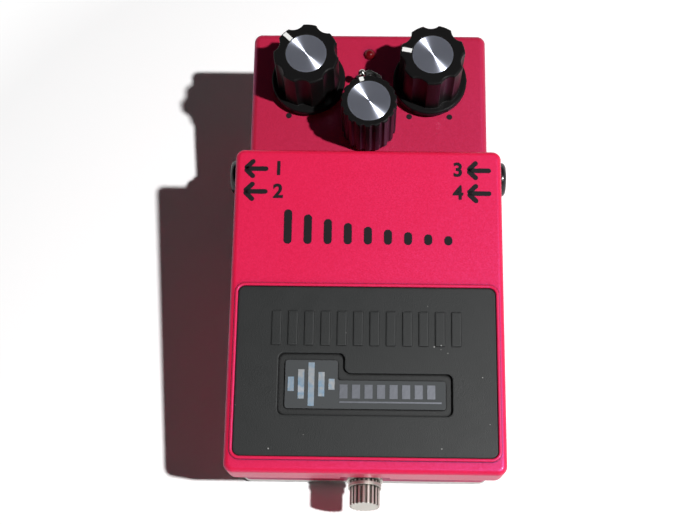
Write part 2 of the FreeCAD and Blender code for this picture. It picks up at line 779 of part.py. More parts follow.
def return_spring():
    """Compression spring: one unbroken wire that climbs in quarter turns, each of them two joined arcs."""
    low = V(0, spring_y, seat_top_z + spring_wire / 2)
    rise = spring_height - spring_wire
    steps = int(round(spring_turns * 4))
    lift = rise / steps

    def place(k):
        angle = k * math.pi / 2
        return low + V(spring_radius * math.cos(angle), spring_radius * math.sin(angle), k * lift)

    def heading(k):
        angle = k * math.pi / 2
        forward = V(-math.sin(angle), math.cos(angle), 2 * lift / math.pi / spring_radius)
        return forward.normalize()

    edges = []
    for k in range(steps):
        edges.extend(two_arcs(place(k), heading(k), place(k + 1), heading(k + 1)))
    path = Part.Wire(edges)
    start = Part.Wire(Part.makeCircle(spring_wire / 2, place(0), heading(0)))
    centres = path.discretize(Number=24 * steps + 1)
    apart = 48
    gap = min(centres[i].distanceToPoint(centres[j]) for i in range(len(centres))
              for j in range(i + apart, len(centres))) - spring_wire
    print("least gap between the spring's turns", round(gap, 2))
    return path.makePipeShell([start], True, False)


def two_arcs(start, start_heading, end, end_heading):
    """Two arcs that leave start along start_heading, meet smoothly and reach end along end_heading."""
    chord = end - start
    both = start_heading + end_heading
    inside = chord.dot(both)
    spread = 2 * (1 - start_heading.dot(end_heading))
    reach = (math.sqrt(inside * inside + spread * chord.dot(chord)) - inside) / spread
    knee_start = start + start_heading * reach
    knee_end = end - end_heading * reach
    meeting = (knee_start + knee_end) * 0.5

    def arc(first, heading, last):
        step = last - first
        across = step - heading * step.dot(heading)
        radius = step.dot(step) / 2 / across.Length
        centre = first + across.normalize() * radius
        middle = (first + last) * 0.5 - centre
        return Part.Arc(first, centre + middle.normalize() * radius, last).toShape()

    return [arc(start, start_heading, meeting), arc(end, end_heading * -1, meeting)]


def spring_seat():
    """Nylon seat on the shelf with a post up the spring."""
    base = V(0, spring_y, shelf_floor_z)
    top = V(0, spring_y, seat_top_z)
    post_radius = spring_radius - spring_wire / 2 - free_gap
    return joined([rod(spring_radius + spring_wire, base, top),
                   rod(post_radius, base, top + V(0, 0, spring_height / 3))])


def spring_cup():
    """Nylon cup under the treadle that holds the spring's top."""
    base = V(0, spring_y, spring_top_z)
    top = base + V(0, 0, cup_plate)
    cup = rod(cup_radius, base - V(0, 0, cup_skirt), top)
    return cup.cut(rod(cup_radius - cup_wall, base - V(0, 0, cup_skirt), base))


def switch_board():
    board = box(switch_x - switch_board_half_x, switch_x + switch_board_half_x,
                spring_y - switch_board_half_y, spring_y + switch_board_half_y,
                switch_board_z, switch_board_z + switch_board_thickness)
    holes = [rod(board_screw_radius + hole_gap, V(x, y, 0), V(x, y, above_all)) for x, y in switch_screw_places()]
    return board.cut(group(holes))


def switch_screw_places():
    x, y = switch_board_half_x - 2.5, switch_board_half_y - 2.5
    return [(switch_x - x, spring_y - y), (switch_x + x, spring_y + y)]


def board_screws():
    """Small screws and spacers that hold the switch board on the shelf."""
    screws = []
    for x, y in switch_screw_places():
        top = V(x, y, switch_board_z + switch_board_thickness)
        head = rod(board_screw_head_radius, top, top + V(0, 0, board_screw_head_height))
        shank = rod(board_screw_radius, top - V(0, 0, board_screw_length), top)
        screws.append(joined([head, shank]))
        screws.append(tube(board_screw_head_radius, board_screw_radius,
                           V(x, y, shelf_floor_z), V(x, y, switch_board_z)))
    return group(screws)


def switch_body():
    """Momentary switch that the treadle works."""
    low = switch_board_z + switch_board_thickness
    half = switch_size / 2
    body = box(switch_x - half, switch_x + half, spring_y - half, spring_y + half, low, switch_top_z)
    body = round_edges(body, 0.6, lambda edge: runs_along(edge, Z_AXIS))
    well = rod(plunger_radius + running_gap, V(switch_x, spring_y, low + plunger_floor),
               V(switch_x, spring_y, above_all))
    return body.cut(well)


def switch_plunger():
    low = switch_board_z + switch_board_thickness + plunger_floor + press_travel + free_gap
    return rod(plunger_radius, V(switch_x, spring_y, low), V(switch_x, spring_y, plunger_top_z))


def switch_actuator():
    """Over-travel sleeve under the treadle: a spring in its bore works the plunger, and the rim passes around it."""
    low = V(switch_x, spring_y, plunger_top_z + actuator_gap)
    top = low + V(0, 0, actuator_rise)
    stem_end = top + V(0, 0, actuator_stem)
    sleeve = joined([rod(actuator_radius, low, top), rod(actuator_stem_radius, top, stem_end)])
    return sleeve.cut(rod(plunger_radius + sleeve_play, low - Z_AXIS, low + V(0, 0, sleeve_depth)))


def jack(side, z):
    """Socket for a quarter-inch plug in a side wall: side is 1 for the right and -1 for the left."""
    inner = inner_half - seat_gap
    half = jack_body / 2
    body = box(inner - jack_body_length, inner, jack_y - half, jack_y + half, z - half, z + half)
    body = round_edges(body, jack_body_edge, lambda edge: runs_along(edge, X_AXIS))
    nose_end = V(case_half + jack_reach, jack_y, z)
    nose = rod(jack_thread_radius, V(inner - wall / 2, jack_y, z), nose_end)
    nose = round_edges(nose, jack_edge, lambda edge: abs(edge.CenterOfMass.x - nose_end.x) < seat_gap)
    bore = rod(jack_bore_radius, V(0, jack_y, z), nose_end + X_AXIS)
    socket = joined([body, nose]).cut(bore)
    return socket if side > 0 else socket.mirror(V(0, 0, 0), X_AXIS)


def jack_nuts():
    nuts = []
    for z in (upper_jack_z, lower_jack_z):
        start = V(case_half + jack_washer + seat_gap, jack_y, z)
        nuts.append(nut(jack_nut_flats, jack_thread_radius + seat_gap, start, start + V(jack_nut_thickness, 0, 0)))
    return group(nuts + [one.mirror(V(0, 0, 0), X_AXIS) for one in nuts])


def jack_washers():
    washers = []
    for z in (upper_jack_z, lower_jack_z):
        start = V(case_half, jack_y, z)
        washers.extend(both_sides(tube(jack_washer_radius, jack_thread_radius + seat_gap,
                                       start, start + V(jack_washer, 0, 0))))
    return group(washers)


def socket_contacts():
    """Contact blades beside the jacks and the pin of the power socket."""
    blades = []
    y = jack_y + jack_body / 2
    for inset in contact_insets:
        x = inner_half - inset
        blade = box(x - contact_width / 2, x + contact_width / 2, y + seat_gap, y + seat_gap + contact_thickness,
                    board_top_z + seat_gap, upper_jack_z + jack_body / 4)
        blades.extend(both_sides(blade))
    pin_start = V(0, rear_inner_y - dc_body_length + wall / 2, dc_z)
    pin_end = V(0, rear_wall_y + dc_reach - wall / 2, dc_z)
    pin = rod(dc_pin_radius, pin_start, pin_end)
    return group(blades + [pin])


def power_socket():
    """Barrel socket in the rear wall, open round its centre pin."""
    inner = rear_inner_y - seat_gap
    half = dc_body_width / 2
    body = box(-half, half, inner - dc_body_length, inner, dc_z - half, dc_z + half)
    nose_end = V(0, rear_wall_y + dc_reach, dc_z)
    nose = rod(dc_thread_radius, V(0, inner - wall / 2, dc_z), nose_end)
    nose = round_edges(nose, dc_edge, lambda edge: abs(edge.CenterOfMass.y - nose_end.y) < seat_gap)
    bore = rod(dc_bore_radius, nose_end - V(0, dc_bore_depth, 0), nose_end + Y_AXIS)
    pin_hole = rod(dc_pin_radius, V(0, inner - 2 * dc_body_length, dc_z), nose_end)
    return joined([body, nose]).cut(bore).cut(pin_hole)


def power_socket_nut():
    start = V(0, rear_wall_y + seat_gap, dc_z)
    return nut(dc_nut_flats, dc_thread_radius + seat_gap, start, start + V(0, dc_nut_thickness, 0))


def pot_places():
    """Knob and pot places on the deck: across from the middle, and down the slope from the rear."""
    return {"left": (-side_knob_x, side_knob_setback), "centre": (0.0, centre_knob_setback),
            "right": (side_knob_x, side_knob_setback)}


def pot():
    """Potentiometer about its own axis: can, terminals and threaded collar with the shaft's bore."""
    top = V(0, 0, -wall - seat_gap)
    bottom = top - V(0, 0, pot_depth)
    can = rod(pot_radius, bottom, top)
    terminals = box(-pot_radius / 2, pot_radius / 2, -pot_radius + wall / 2, -pot_radius / 2,
                    seat_gap - control_board_drop, bottom.z)
    collar = rod(pot_thread_radius, top, V(0, 0, pot_thread_rise))
    bore = rod(shaft_radius + running_gap, V(0, 0, shaft_low - free_gap), V(0, 0, 2 * pot_thread_rise))
    return joined([can, terminals, collar]).cut(bore)


def pot_nut():
    return nut(pot_nut_flats, pot_thread_radius + seat_gap, V(0, 0, seat_gap), V(0, 0, seat_gap + pot_nut_thickness))


def pot_shaft():
    """Shaft from inside the pot's can up into the knob."""
    return rod(shaft_radius, V(0, 0, shaft_low), V(0, 0, shaft_rise))


def pointer_bar(inner, outer, gap=0.0):
    """The white pointer in a knob's top, larger all round by gap."""
    half = pointer_width / 2 + gap
    return box(-half, half, inner - gap, outer + gap, knob_top - pointer_inset - gap, knob_top + pointer_stand)


def knob_hollow():
    """Room for the shaft, and for the nut and collar below it."""
    room = rod(pot_nut_flats / 2 / math.cos(math.pi / 6) + free_gap, V(0, 0, 0),
               V(0, 0, pot_thread_rise + free_gap))
    return room.fuse(rod(shaft_radius + seat_gap, V(0, 0, 0), V(0, 0, shaft_rise + seat_gap)))


def cut_round(body, count, cutter):
    """Cut count equal hollows into a body about its own axis, the first of them half a step from Y."""
    cutters = []
    for k in range(count):
        turned = cutter.copy()
        turned.rotate(V(0, 0, 0), Z_AXIS, 90 + (k + 0.5) * 360 / count)
        cutters.append(turned)
    return body.cut(group(cutters))


def side_knob():
    """Skirted knob with wide lobes, one of them under the pointer."""
    skirt_top = V(0, 0, knob_gap + side_skirt_height)
    skirt = rod(side_skirt_radius, V(0, 0, knob_gap), skirt_top)
    skirt = round_edges(skirt, knob_edge, lambda edge: abs(edge.CenterOfMass.z - skirt_top.z) < seat_gap)
    body = rod(side_knob_radius, skirt_top, V(0, 0, knob_top))
    # The seam of the round surface is turned into a scallop, so that the rounding meets none
    body.rotate(V(0, 0, 0), Z_AXIS, 90 + 180 / side_lobes)
    reach = V(side_knob_radius - side_scallop_depth + side_scallop_radius, 0, 0)
    body = cut_round(body, side_lobes, rod(side_scallop_radius, reach, reach + V(0, 0, 2 * knob_top)))
    body = round_edges(body, knob_edge, lambda edge: abs(edge.CenterOfMass.z - knob_top) < seat_gap)
    return finish_knob(joined([skirt, body]), side_cap_radius, side_pointer(seat_gap))


def centre_knob():
    """Straight knob with fine flutes."""
    body = rod(centre_knob_radius, V(0, 0, knob_gap), V(0, 0, knob_top))
    body = round_edges(body, knob_edge, lambda edge: abs(edge.CenterOfMass.z - knob_top) < seat_gap)
    reach = V(centre_knob_radius - centre_flute_depth + centre_flute_radius, 0, 0)
    body = cut_round(body, centre_flutes, rod(centre_flute_radius, reach, reach + V(0, 0, 2 * knob_top)))
    return finish_knob(body, centre_cap_radius, centre_pointer(seat_gap))


def finish_knob(body, cap_radius, pointer_slot):
    """Cut the cap's bed, the pointer's slot and the shaft's bore."""
    bed = rod(cap_radius + seat_gap, V(0, 0, knob_top - cap_thickness), V(0, 0, 2 * knob_top))
    return body.cut(bed).cut(pointer_slot).cut(knob_hollow())


def side_pointer(gap=0.0):
    return pointer_bar(side_cap_radius + pointer_cap_gap, side_knob_radius - pointer_end_gap, gap)


def centre_pointer(gap=0.0):
    return pointer_bar(centre_cap_radius + pointer_cap_gap, centre_knob_radius - pointer_end_gap, gap)


def knob_cap(radius):
    """Spun aluminium disc let into a knob's top."""
    return rod(radius, V(0, 0, knob_top - cap_thickness), V(0, 0, knob_top + cap_stand))


def led():
    """Red lens with a domed top and a flange below the deck."""
    dome_radius = (led_radius ** 2 + led_dome_rise ** 2) / 2 / led_dome_rise
    ball = Part.makeSphere(dome_radius, V(0, 0, led_dome_rise - dome_radius))
    dome = ball.common(rod(led_radius, V(0, 0, 0), V(0, 0, 2 * led_dome_rise)))
    low = V(0, 0, -wall - led_flange)
    flange = rod(led_flange_radius, low, low + V(0, 0, led_flange - seat_gap))
    return on_deck(joined([rod(led_radius, low, V(0, 0, 0)), dome, flange]), 0, led_setback)


def led_spacer():
    """Sleeve that holds the lens up from the control board."""
    start, end = V(0, 0, seat_gap - control_board_drop), V(0, 0, -wall - led_flange - seat_gap)
    return on_deck(tube(led_spacer_radius, led_spacer_radius - led_spacer_wall, start, end), 0, led_setback)


def toggle_body():
    """Small toggle switch: case, terminals and threaded collar, open for the lever."""
    top = -wall - seat_gap
    low = top - toggle_body_depth
    case_box = box(-toggle_body_x / 2, toggle_body_x / 2, -toggle_body_y / 2, toggle_body_y / 2, low, top)
    terminals = box(-toggle_body_x / 3, toggle_body_x / 3, -toggle_body_y / 4, toggle_body_y / 4,
                    seat_gap - control_board_drop, low)
    collar = rod(toggle_thread_radius, V(0, 0, top), V(0, 0, toggle_thread_rise))
    bore = rod(toggle_thread_radius - toggle_collar_wall, V(0, 0, top + seat_gap), V(0, 0, 2 * toggle_thread_rise))
    return on_deck(joined([case_box, terminals, collar]).cut(bore), 0, toggle_setback)


def toggle_nut():
    start = V(0, 0, seat_gap)
    ring = nut(toggle_nut_flats, toggle_thread_radius + seat_gap, start, start + V(0, 0, toggle_nut_thickness))
    return on_deck(ring, 0, toggle_setback)


def toggle_lever():
    """Chromed lever with a ball end, drawn leaning to the left about its cross pin in the collar."""
    tip = V(0, 0, toggle_lever_length)
    reach = toggle_thread_radius - toggle_collar_wall - running_gap
    pin_end = V(0, math.sqrt(reach ** 2 - toggle_lever_radius ** 2), 0)
    lever = joined([Part.makeSphere(reach - free_gap), rod(toggle_lever_radius, V(0, 0, 0) - pin_end, pin_end),
                    rod(toggle_lever_radius, V(0, 0, 0), tip), Part.makeSphere(toggle_ball_radius, tip)])
    lever.rotate(V(0, 0, 0), Y_AXIS, -toggle_lean)
    return on_deck(lever, 0, toggle_setback)


def main_board():
    """Main circuit board below the battery's floor and the jacks."""
    return box(-main_board_half, main_board_half, main_board_front, main_board_rear, main_board_z, board_top_z)


def control_board():
    """Board that carries the pots, lamp and toggle switch, parallel to the deck."""
    low, high = -control_board_drop - board_thickness, -control_board_drop
    wide = box(-control_board_half, control_board_half, -control_board_front, -control_board_rear, low, high)
    tab = box(-control_board_tab / 2, control_board_tab / 2, -control_board_tab_front, -control_board_rear, low, high)
    return on_deck(joined([wide, tab]))


def lead_places():
    x = snap_x() - snap_thickness / 2
    return [(x, battery_y() - battery_terminal_spacing / 2), (x, battery_y() + battery_terminal_spacing / 2)]


def battery_right():
    return bay_half - battery_end_gap


def battery_y():
    """Middle of the battery, against the rear of its bay."""
    return partition_front_y - free_gap - battery_depth / 2


def snap_x():
    """Face of the snap that meets the battery's terminals."""
    return battery_right() - battery_width - battery_terminal


def battery():
    """Nine-volt battery that lies across the bay, terminals to the left."""
    left, low = battery_right() - battery_width, battery_floor_z + hole_gap
    half = battery_depth / 2
    body = box(left, battery_right(), battery_y() - half, battery_y() + half, low, low + battery_height)
    body = round_edges(body, battery_corner, lambda edge: runs_along(edge, X_AXIS))
    ends = []
    for y in (battery_y() - battery_terminal_spacing / 2, battery_y() + battery_terminal_spacing / 2):
        ends.append(rod(battery_terminal_radius, V(snap_x() + seat_gap, y, low + battery_height / 2),
                        V(left + 1, y, low + battery_height / 2)))
    return joined([body] + ends)


def battery_snap():
    middle = battery_floor_z + hole_gap + battery_height / 2
    snap = box(snap_x() - snap_thickness, snap_x(), battery_y() - snap_width / 2, battery_y() + snap_width / 2,
               middle - snap_height / 2, middle + snap_height / 2)
    return round_edges(snap, snap_corner, lambda edge: runs_along(edge, X_AXIS))


def battery_leads():
    """Two leads straight down from the snap through the bay's floor to the main board."""
    top = battery_floor_z + hole_gap + (battery_height - snap_height) / 2
    return group([rod(lead_radius, V(x, y, board_top_z), V(x, y, top)) for x, y in lead_places()])


def capacitors():
    """Electrolytic capacitors on the main board: low ones under the bay, tall ones behind the jacks."""
    low_height = battery_floor_z - bay_floor - board_top_z - free_gap
    front_row, rear_row = main_board_front + capacitor_inset, main_board_rear - capacitor_inset
    rows = ((low_capacitor_places, front_row, low_capacitor_radius, low_height),
            (tall_capacitor_places, rear_row, tall_capacitor_radius, tall_capacitor_height))
    cans = []
    for places, y, radius, height in rows:
        for x in places:
            base = V(x, y, board_top_z + seat_gap)
            cans.append(rod(radius, base, base + V(0, 0, height)))
    return group(cans)


def chips():
    """Integrated circuits on the main board, each at its distance behind the board's front edge."""
    low = board_top_z + seat_gap
    parts = []
    for x, distance, length in chip_places:
        y = main_board_front + distance
        parts.append(box(x - length / 2, x + length / 2, y - chip_width / 2, y + chip_width / 2,
                         low, low + chip_height))
    return group(parts)


def control_nodes():
    """The pots, their nuts and shafts, and each knob with its cap and pointer, in place on the deck."""
    angles = {"left": left_pointer_angle, "centre": centre_pointer_angle, "right": right_pointer_angle}
    nodes = {"pot_nuts": group([on_deck(pot_nut(), x, setback) for x, setback in pot_places().values()])}
    for name, (x, setback) in pot_places().items():
        angle = angles[name]
        centre = name == "centre"
        knob = centre_knob() if centre else side_knob()
        cap = knob_cap(centre_cap_radius if centre else side_cap_radius)
        pointer = centre_pointer() if centre else side_pointer()
        nodes[name + "_pot"] = on_deck(pot(), x, setback)
        nodes[name + "_pot_shaft"] = on_deck(pot_shaft(), x, setback)
        nodes[name + "_knob"] = on_deck(knob, x, setback, angle)
        nodes[name + "_knob_cap"] = on_deck(cap, x, setback)
        nodes[name + "_knob_pointer"] = on_deck(pointer, x, setback, angle)
    return nodes


def all_nodes():
    nodes = {
        "case": case(), "base_plate": base_plate(), "base_mat": base_mat(), "base_screws": base_screws(),
        "treadle": treadle(), "treadle_pad": treadle_pad(), "badge_plate": badge_plate(),
        "badge_symbol": badge_symbol(),
        "guide_bush": guide_bush(), "spring_cup": spring_cup(), "switch_actuator": switch_actuator(),
        "hinge_pins": hinge_pins(), "pin_clips": pin_clips(), "hinge_bushes": hinge_bushes(),
        "return_spring": return_spring(), "spring_seat": spring_seat(), "switch_board": switch_board(),
        "switch_body": switch_body(), "switch_plunger": switch_plunger(), "board_screws": board_screws(),
        "thumbscrew": thumbscrew(), "thumbscrew_washer": thumbscrew_washer(), "thread_insert": thread_insert(),
        "left_upper_jack": jack(-1, upper_jack_z), "left_lower_jack": jack(-1, lower_jack_z),
        "right_upper_jack": jack(1, upper_jack_z), "right_lower_jack": jack(1, lower_jack_z),
        "jack_nuts": jack_nuts(), "jack_washers": jack_washers(), "socket_contacts": socket_contacts(),
        "power_socket": power_socket(), "power_socket_nut": power_socket_nut(), "led": led(),
        "led_spacer": led_spacer(), "toggle_body": toggle_body(), "toggle_nut": toggle_nut(),
        "toggle_lever": toggle_lever(), "main_board": main_board(), "control_board": control_board(),
        "capacitors": capacitors(), "chips": chips(), "battery": battery(), "battery_snap": battery_snap(),
        "battery_leads": battery_leads(),
    }
    nodes.update(control_nodes())
    return nodes


os.makedirs("parts", exist_ok=True)
for node_name, node_shape in all_nodes().items():
    node_shape.exportStep(os.path.join("parts", node_name + ".step"))
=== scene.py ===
"""Looks of a compact delay pedal: painted castings, gloss knobs with spun caps, a rubber pad and a silver badge."""

import math

import bmesh
import bpy
from mathutils import Matrix, Vector


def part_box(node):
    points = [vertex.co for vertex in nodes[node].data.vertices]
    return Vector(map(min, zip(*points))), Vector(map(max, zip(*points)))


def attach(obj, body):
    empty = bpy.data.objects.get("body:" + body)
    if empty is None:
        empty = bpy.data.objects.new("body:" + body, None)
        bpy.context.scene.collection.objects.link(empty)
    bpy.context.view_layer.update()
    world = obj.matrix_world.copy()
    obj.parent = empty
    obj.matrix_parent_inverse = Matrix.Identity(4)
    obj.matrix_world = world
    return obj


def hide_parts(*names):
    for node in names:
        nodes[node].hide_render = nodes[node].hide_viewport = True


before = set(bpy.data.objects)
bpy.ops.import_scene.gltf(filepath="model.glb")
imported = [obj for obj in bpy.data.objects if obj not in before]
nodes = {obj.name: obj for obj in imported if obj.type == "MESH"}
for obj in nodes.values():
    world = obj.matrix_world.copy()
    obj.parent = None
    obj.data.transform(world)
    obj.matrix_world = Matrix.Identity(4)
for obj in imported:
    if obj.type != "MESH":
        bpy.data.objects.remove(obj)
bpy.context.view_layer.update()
bpy.ops.object.select_all(action="DESELECT")

# View, lamp, room and table
# The pedal lies on a white table and is seen from the player's side, from well above.
# One small lamp at the right front throws the hard shadow, and a dim white room fills it a little.
camera_place = Vector((0.000198, -0.15503, 0.30930))
camera_pitch = math.radians(28.437)
camera_yaw = math.radians(0.830)
camera_roll = math.radians(0.617)
camera_lens = 63.858
key_direction = Vector((0.434, -0.304, 0.848)).normalized()
key_distance = 1.0
key_size = 0.03
key_power = 11.3
room_fill = 0.034
room_white = 1.0
horizon_low, horizon_high = 0.30, 0.50
table_half = 4.0
table_own, table_seen = (0.94, 0.94, 0.94, 1.0), (1.13, 1.13, 1.13, 1.0)
table_near, table_far = 0.13, 0.33
table_roughness, table_gloss = 0.8, 0.05
room_tone = (0.99, 0.99, 1.0, 1.0)


def add(tree, kind, inputs=None, **settings):
    """Add a shader node; an input takes a value, or another node's output as a link."""
    made = tree.nodes.new(kind)
    for key, value in settings.items():
        setattr(made, key, value)
    for key, value in (inputs or {}).items():
        if isinstance(value, bpy.types.NodeSocket):
            tree.links.new(value, made.inputs[key])
        else:
            made.inputs[key].default_value = value
    return made


def blank(name):
    """A new material, with its node tree and its main shader."""
    made = bpy.data.materials.new(name)
    made.use_nodes = True
    return made, made.node_tree, made.node_tree.nodes["Principled BSDF"]


camera_data = bpy.data.cameras.new("camera")
camera_data.lens = camera_lens
camera_data.sensor_width = 36
camera_data.sensor_fit = "HORIZONTAL"
camera_data.clip_start = 0.01
camera = bpy.data.objects.new("camera", camera_data)
bpy.context.scene.collection.objects.link(camera)
turn = Matrix.Rotation(camera_yaw, 4, "Y") @ Matrix.Rotation(camera_roll, 4, "Z")
camera.matrix_world = Matrix.Translation(camera_place) @ Matrix.Rotation(camera_pitch, 4, "X") @ turn
bpy.context.scene.camera = camera
bpy.context.scene.view_settings.view_transform = "Standard"

bpy.ops.object.light_add(type="AREA", location=key_direction * key_distance)
key = bpy.context.object
key.name = "key_lamp"
key.data.shape = "DISK"
key.data.size = key_size
key.data.energy = key_power
key.rotation_euler = key_direction.to_track_quat("Z", "Y").to_euler()
bpy.ops.object.select_all(action="DESELECT")

room = bpy.data.worlds.new("room")
bpy.context.scene.world = room
room.use_nodes = True
air = room.node_tree
air.nodes.clear()
rays = add(air, "ShaderNodeLightPath")
seen_by_lens = add(air, "ShaderNodeMath", {0: rays.outputs["Is Camera Ray"], 1: rays.outputs["Is Glossy Ray"]},
                   operation="MAXIMUM")
seen = add(air, "ShaderNodeMath", {0: seen_by_lens.outputs[0], 1: rays.outputs["Is Transmission Ray"]},
           operation="MAXIMUM")
direction = add(air, "ShaderNodeTexCoord")
height = add(air, "ShaderNodeSeparateXYZ", {0: direction.outputs["Generated"]})
band = add(air, "ShaderNodeMapRange", {"Value": height.outputs["Z"], "From Min": horizon_low,
                                       "From Max": horizon_high, "To Min": 1.0, "To Max": 0.0},
           interpolation_type="SMOOTHSTEP")
share = add(air, "ShaderNodeMath", {0: seen.outputs[0], 1: band.outputs["Result"]}, operation="MULTIPLY")
strength = add(air, "ShaderNodeMapRange", {"Value": share.outputs[0], "To Min": room_fill, "To Max": room_white})
walls = add(air, "ShaderNodeBackground", {"Color": room_tone, "Strength": strength.outputs["Result"]})
add(air, "ShaderNodeOutputWorld", {"Surface": walls.outputs[0]})

bpy.ops.mesh.primitive_plane_add(size=2 * table_half, location=(0, 0, 0))
table = bpy.context.object
table.name = "table"
table_white, paint, table_shader = blank("table_white")
looks = add(paint, "ShaderNodeLightPath")
paper = add(paint, "ShaderNodeMix", {0: looks.outputs["Is Camera Ray"], 6: table_own, 7: table_seen},
            data_type="RGBA")
spot = add(paint, "ShaderNodeTexCoord")
off_centre = add(paint, "ShaderNodeVectorMath", {0: spot.outputs["Object"]}, operation="LENGTH")
haze = add(paint, "ShaderNodeMapRange", {"Value": off_centre.outputs["Value"], "From Min": table_near,
                                         "From Max": table_far})
seen_haze = add(paint, "ShaderNodeMath", {0: haze.outputs["Result"], 1: looks.outputs["Is Camera Ray"]},
                operation="MULTIPLY")
paint.links.new(paper.outputs[2], table_shader.inputs["Base Color"])
paint.links.new(seen_haze.outputs[0], table_shader.inputs["Emission Strength"])
table_shader.inputs["Emission Color"].default_value = (1.0, 1.0, 1.0, 1.0)
table_shader.inputs["Roughness"].default_value = table_roughness
table_shader.inputs["Specular IOR Level"].default_value = table_gloss
table.data.materials.append(table_white)
bpy.ops.object.select_all(action="DESELECT")

# Sole, base plate and their screws
# A flat rubber sole lies under a zinc-plated steel plate that closes the case from below.
# Four slotted steel screws, reached through holes in the sole, hold the plate to the case's corner posts.
rubber_grain_scale, rubber_grain_depth = 2600.0, 0.00005
zinc_grain_scale = 420.0
rounding = 0.00022
broad_share = 0.06
edge_starts, edge_full = 0.99, 0.80
mask_low, mask_high = 0.3, 0.7


def effect(name, inputs, outputs):
    """Start a shader node group with named sockets, given as name: (kind, default)."""
    group = bpy.data.node_groups.new(name, "ShaderNodeTree")
    for label, (kind, value) in inputs.items():
        socket = group.interface.new_socket(label, in_out="INPUT", socket_type=kind)
        if value is not None:
            socket.default_value = value
    for label, kind in outputs.items():
        group.interface.new_socket(label, in_out="OUTPUT", socket_type=kind)
    return group, group.nodes.new("NodeGroupInput"), group.nodes.new("NodeGroupOutput")


# Grain: two noises, one fine and one broad, as a bump and as a mask.
grain, ends_in, ends_out = effect(
    "surface_grain",
    {"Scale": ("NodeSocketFloat", 1000.0), "Depth": ("NodeSocketFloat", 0.00003),
     "Normal": ("NodeSocketVector", None)},
    {"Mask": "NodeSocketFloat", "Normal": "NodeSocketVector"})
place = add(grain, "ShaderNodeTexCoord")
fine = add(grain, "ShaderNodeTexNoise", {"Vector": place.outputs["Object"], "Scale": ends_in.outputs["Scale"],
                                         "Detail": 3.0, "Roughness": 0.6})
coarse_scale = add(grain, "ShaderNodeMath", {0: ends_in.outputs["Scale"], 1: broad_share},
                   operation="MULTIPLY")
coarse = add(grain, "ShaderNodeTexNoise", {"Vector": place.outputs["Object"], "Scale": coarse_scale.outputs[0],
                                           "Detail": 4.0, "Roughness": 0.55})
bump = add(grain, "ShaderNodeBump", {"Height": fine.outputs["Fac"], "Distance": ends_in.outputs["Depth"],
                                     "Strength": 1.0, "Normal": ends_in.outputs["Normal"]})
grain.links.new(coarse.outputs["Fac"], ends_out.inputs["Mask"])
grain.links.new(bump.outputs["Normal"], ends_out.inputs["Normal"])

# Soft edges: the rounded normal of a real edge, and a mask of where the surface turns.
soft_edge, ends_in, ends_out = effect(
    "soft_edges", {"Radius": ("NodeSocketFloat", 0.0003)}, {"Edge": "NodeSocketFloat", "Normal": "NodeSocketVector"})
rounded = add(soft_edge, "ShaderNodeBevel", {"Radius": ends_in.outputs["Radius"]}, samples=4)
flat = add(soft_edge, "ShaderNodeNewGeometry")
likeness = add(soft_edge, "ShaderNodeVectorMath", {0: rounded.outputs["Normal"], 1: flat.outputs["Normal"]},
               operation="DOT_PRODUCT")
turning = add(soft_edge, "ShaderNodeMapRange", {"Value": likeness.outputs["Value"], "From Min": edge_starts,
                                                "From Max": edge_full, "To Min": 0.0, "To Max": 1.0})
soft_edge.links.new(turning.outputs["Result"], ends_out.inputs["Edge"])
soft_edge.links.new(rounded.outputs["Normal"], ends_out.inputs["Normal"])


def surface(name, colour, edge_wear_and_highlight, roughness, scale, depth, radius, spread=0.12, shade=0.25, **sockets):
    """A material with grain, uneven gloss, slightly uneven colour and edges turned towards a second colour: wear on
    most pieces, a painted highlight on the knobs and the lamp.
    """
    made, tree, shader = blank(name)
    edge = add(tree, "ShaderNodeGroup", node_tree=soft_edge)
    edge.inputs["Radius"].default_value = radius
    relief = add(tree, "ShaderNodeGroup", node_tree=grain)
    relief.inputs["Scale"].default_value = scale
    relief.inputs["Depth"].default_value = depth
    tree.links.new(edge.outputs["Normal"], relief.inputs["Normal"])
    dark = tuple(c * (1 - shade) for c in colour)
    body = add(tree, "ShaderNodeMix", {0: relief.outputs["Mask"], 6: (*dark, 1.0), 7: (*colour, 1.0)},
               data_type="RGBA")
    # Edges take the second colour, which is wear on most pieces and a painted highlight on the knobs and the lamp.
    edge_tinted = add(tree, "ShaderNodeMix", {0: edge.outputs["Edge"], 6: body.outputs[2], 7: (*edge_wear_and_highlight, 1.0)},
                 data_type="RGBA")
    gloss = add(tree, "ShaderNodeMapRange", {"Value": relief.outputs["Mask"], "From Min": mask_low,
                                             "From Max": mask_high, "To Min": roughness + spread,
                                             "To Max": roughness})
    tree.links.new(edge_tinted.outputs[2], shader.inputs["Base Color"])
    tree.links.new(gloss.outputs["Result"], shader.inputs["Roughness"])
    tree.links.new(relief.outputs["Normal"], shader.inputs["Normal"])
    for key, value in sockets.items():
        shader.inputs[key.replace("_", " ")].default_value = value
    return made


def dress(material, *names):
    """Give CAD nodes their finish."""
    for name in names:
        for holder in nodes[name].material_slots:
            holder.material = material


sole_rubber = surface("sole_rubber", (0.028, 0.028, 0.030), (0.045, 0.045, 0.046), roughness=0.72,
                      scale=rubber_grain_scale, depth=rubber_grain_depth, radius=0.0004)
dress(sole_rubber, "base_mat")
zinc_steel = surface("zinc_steel", (0.60, 0.60, 0.58), (0.72, 0.72, 0.70), roughness=0.30, scale=zinc_grain_scale,
                     depth=0.00001, radius=rounding, Metallic=1.0)
dress(zinc_steel, "base_plate", "base_screws")
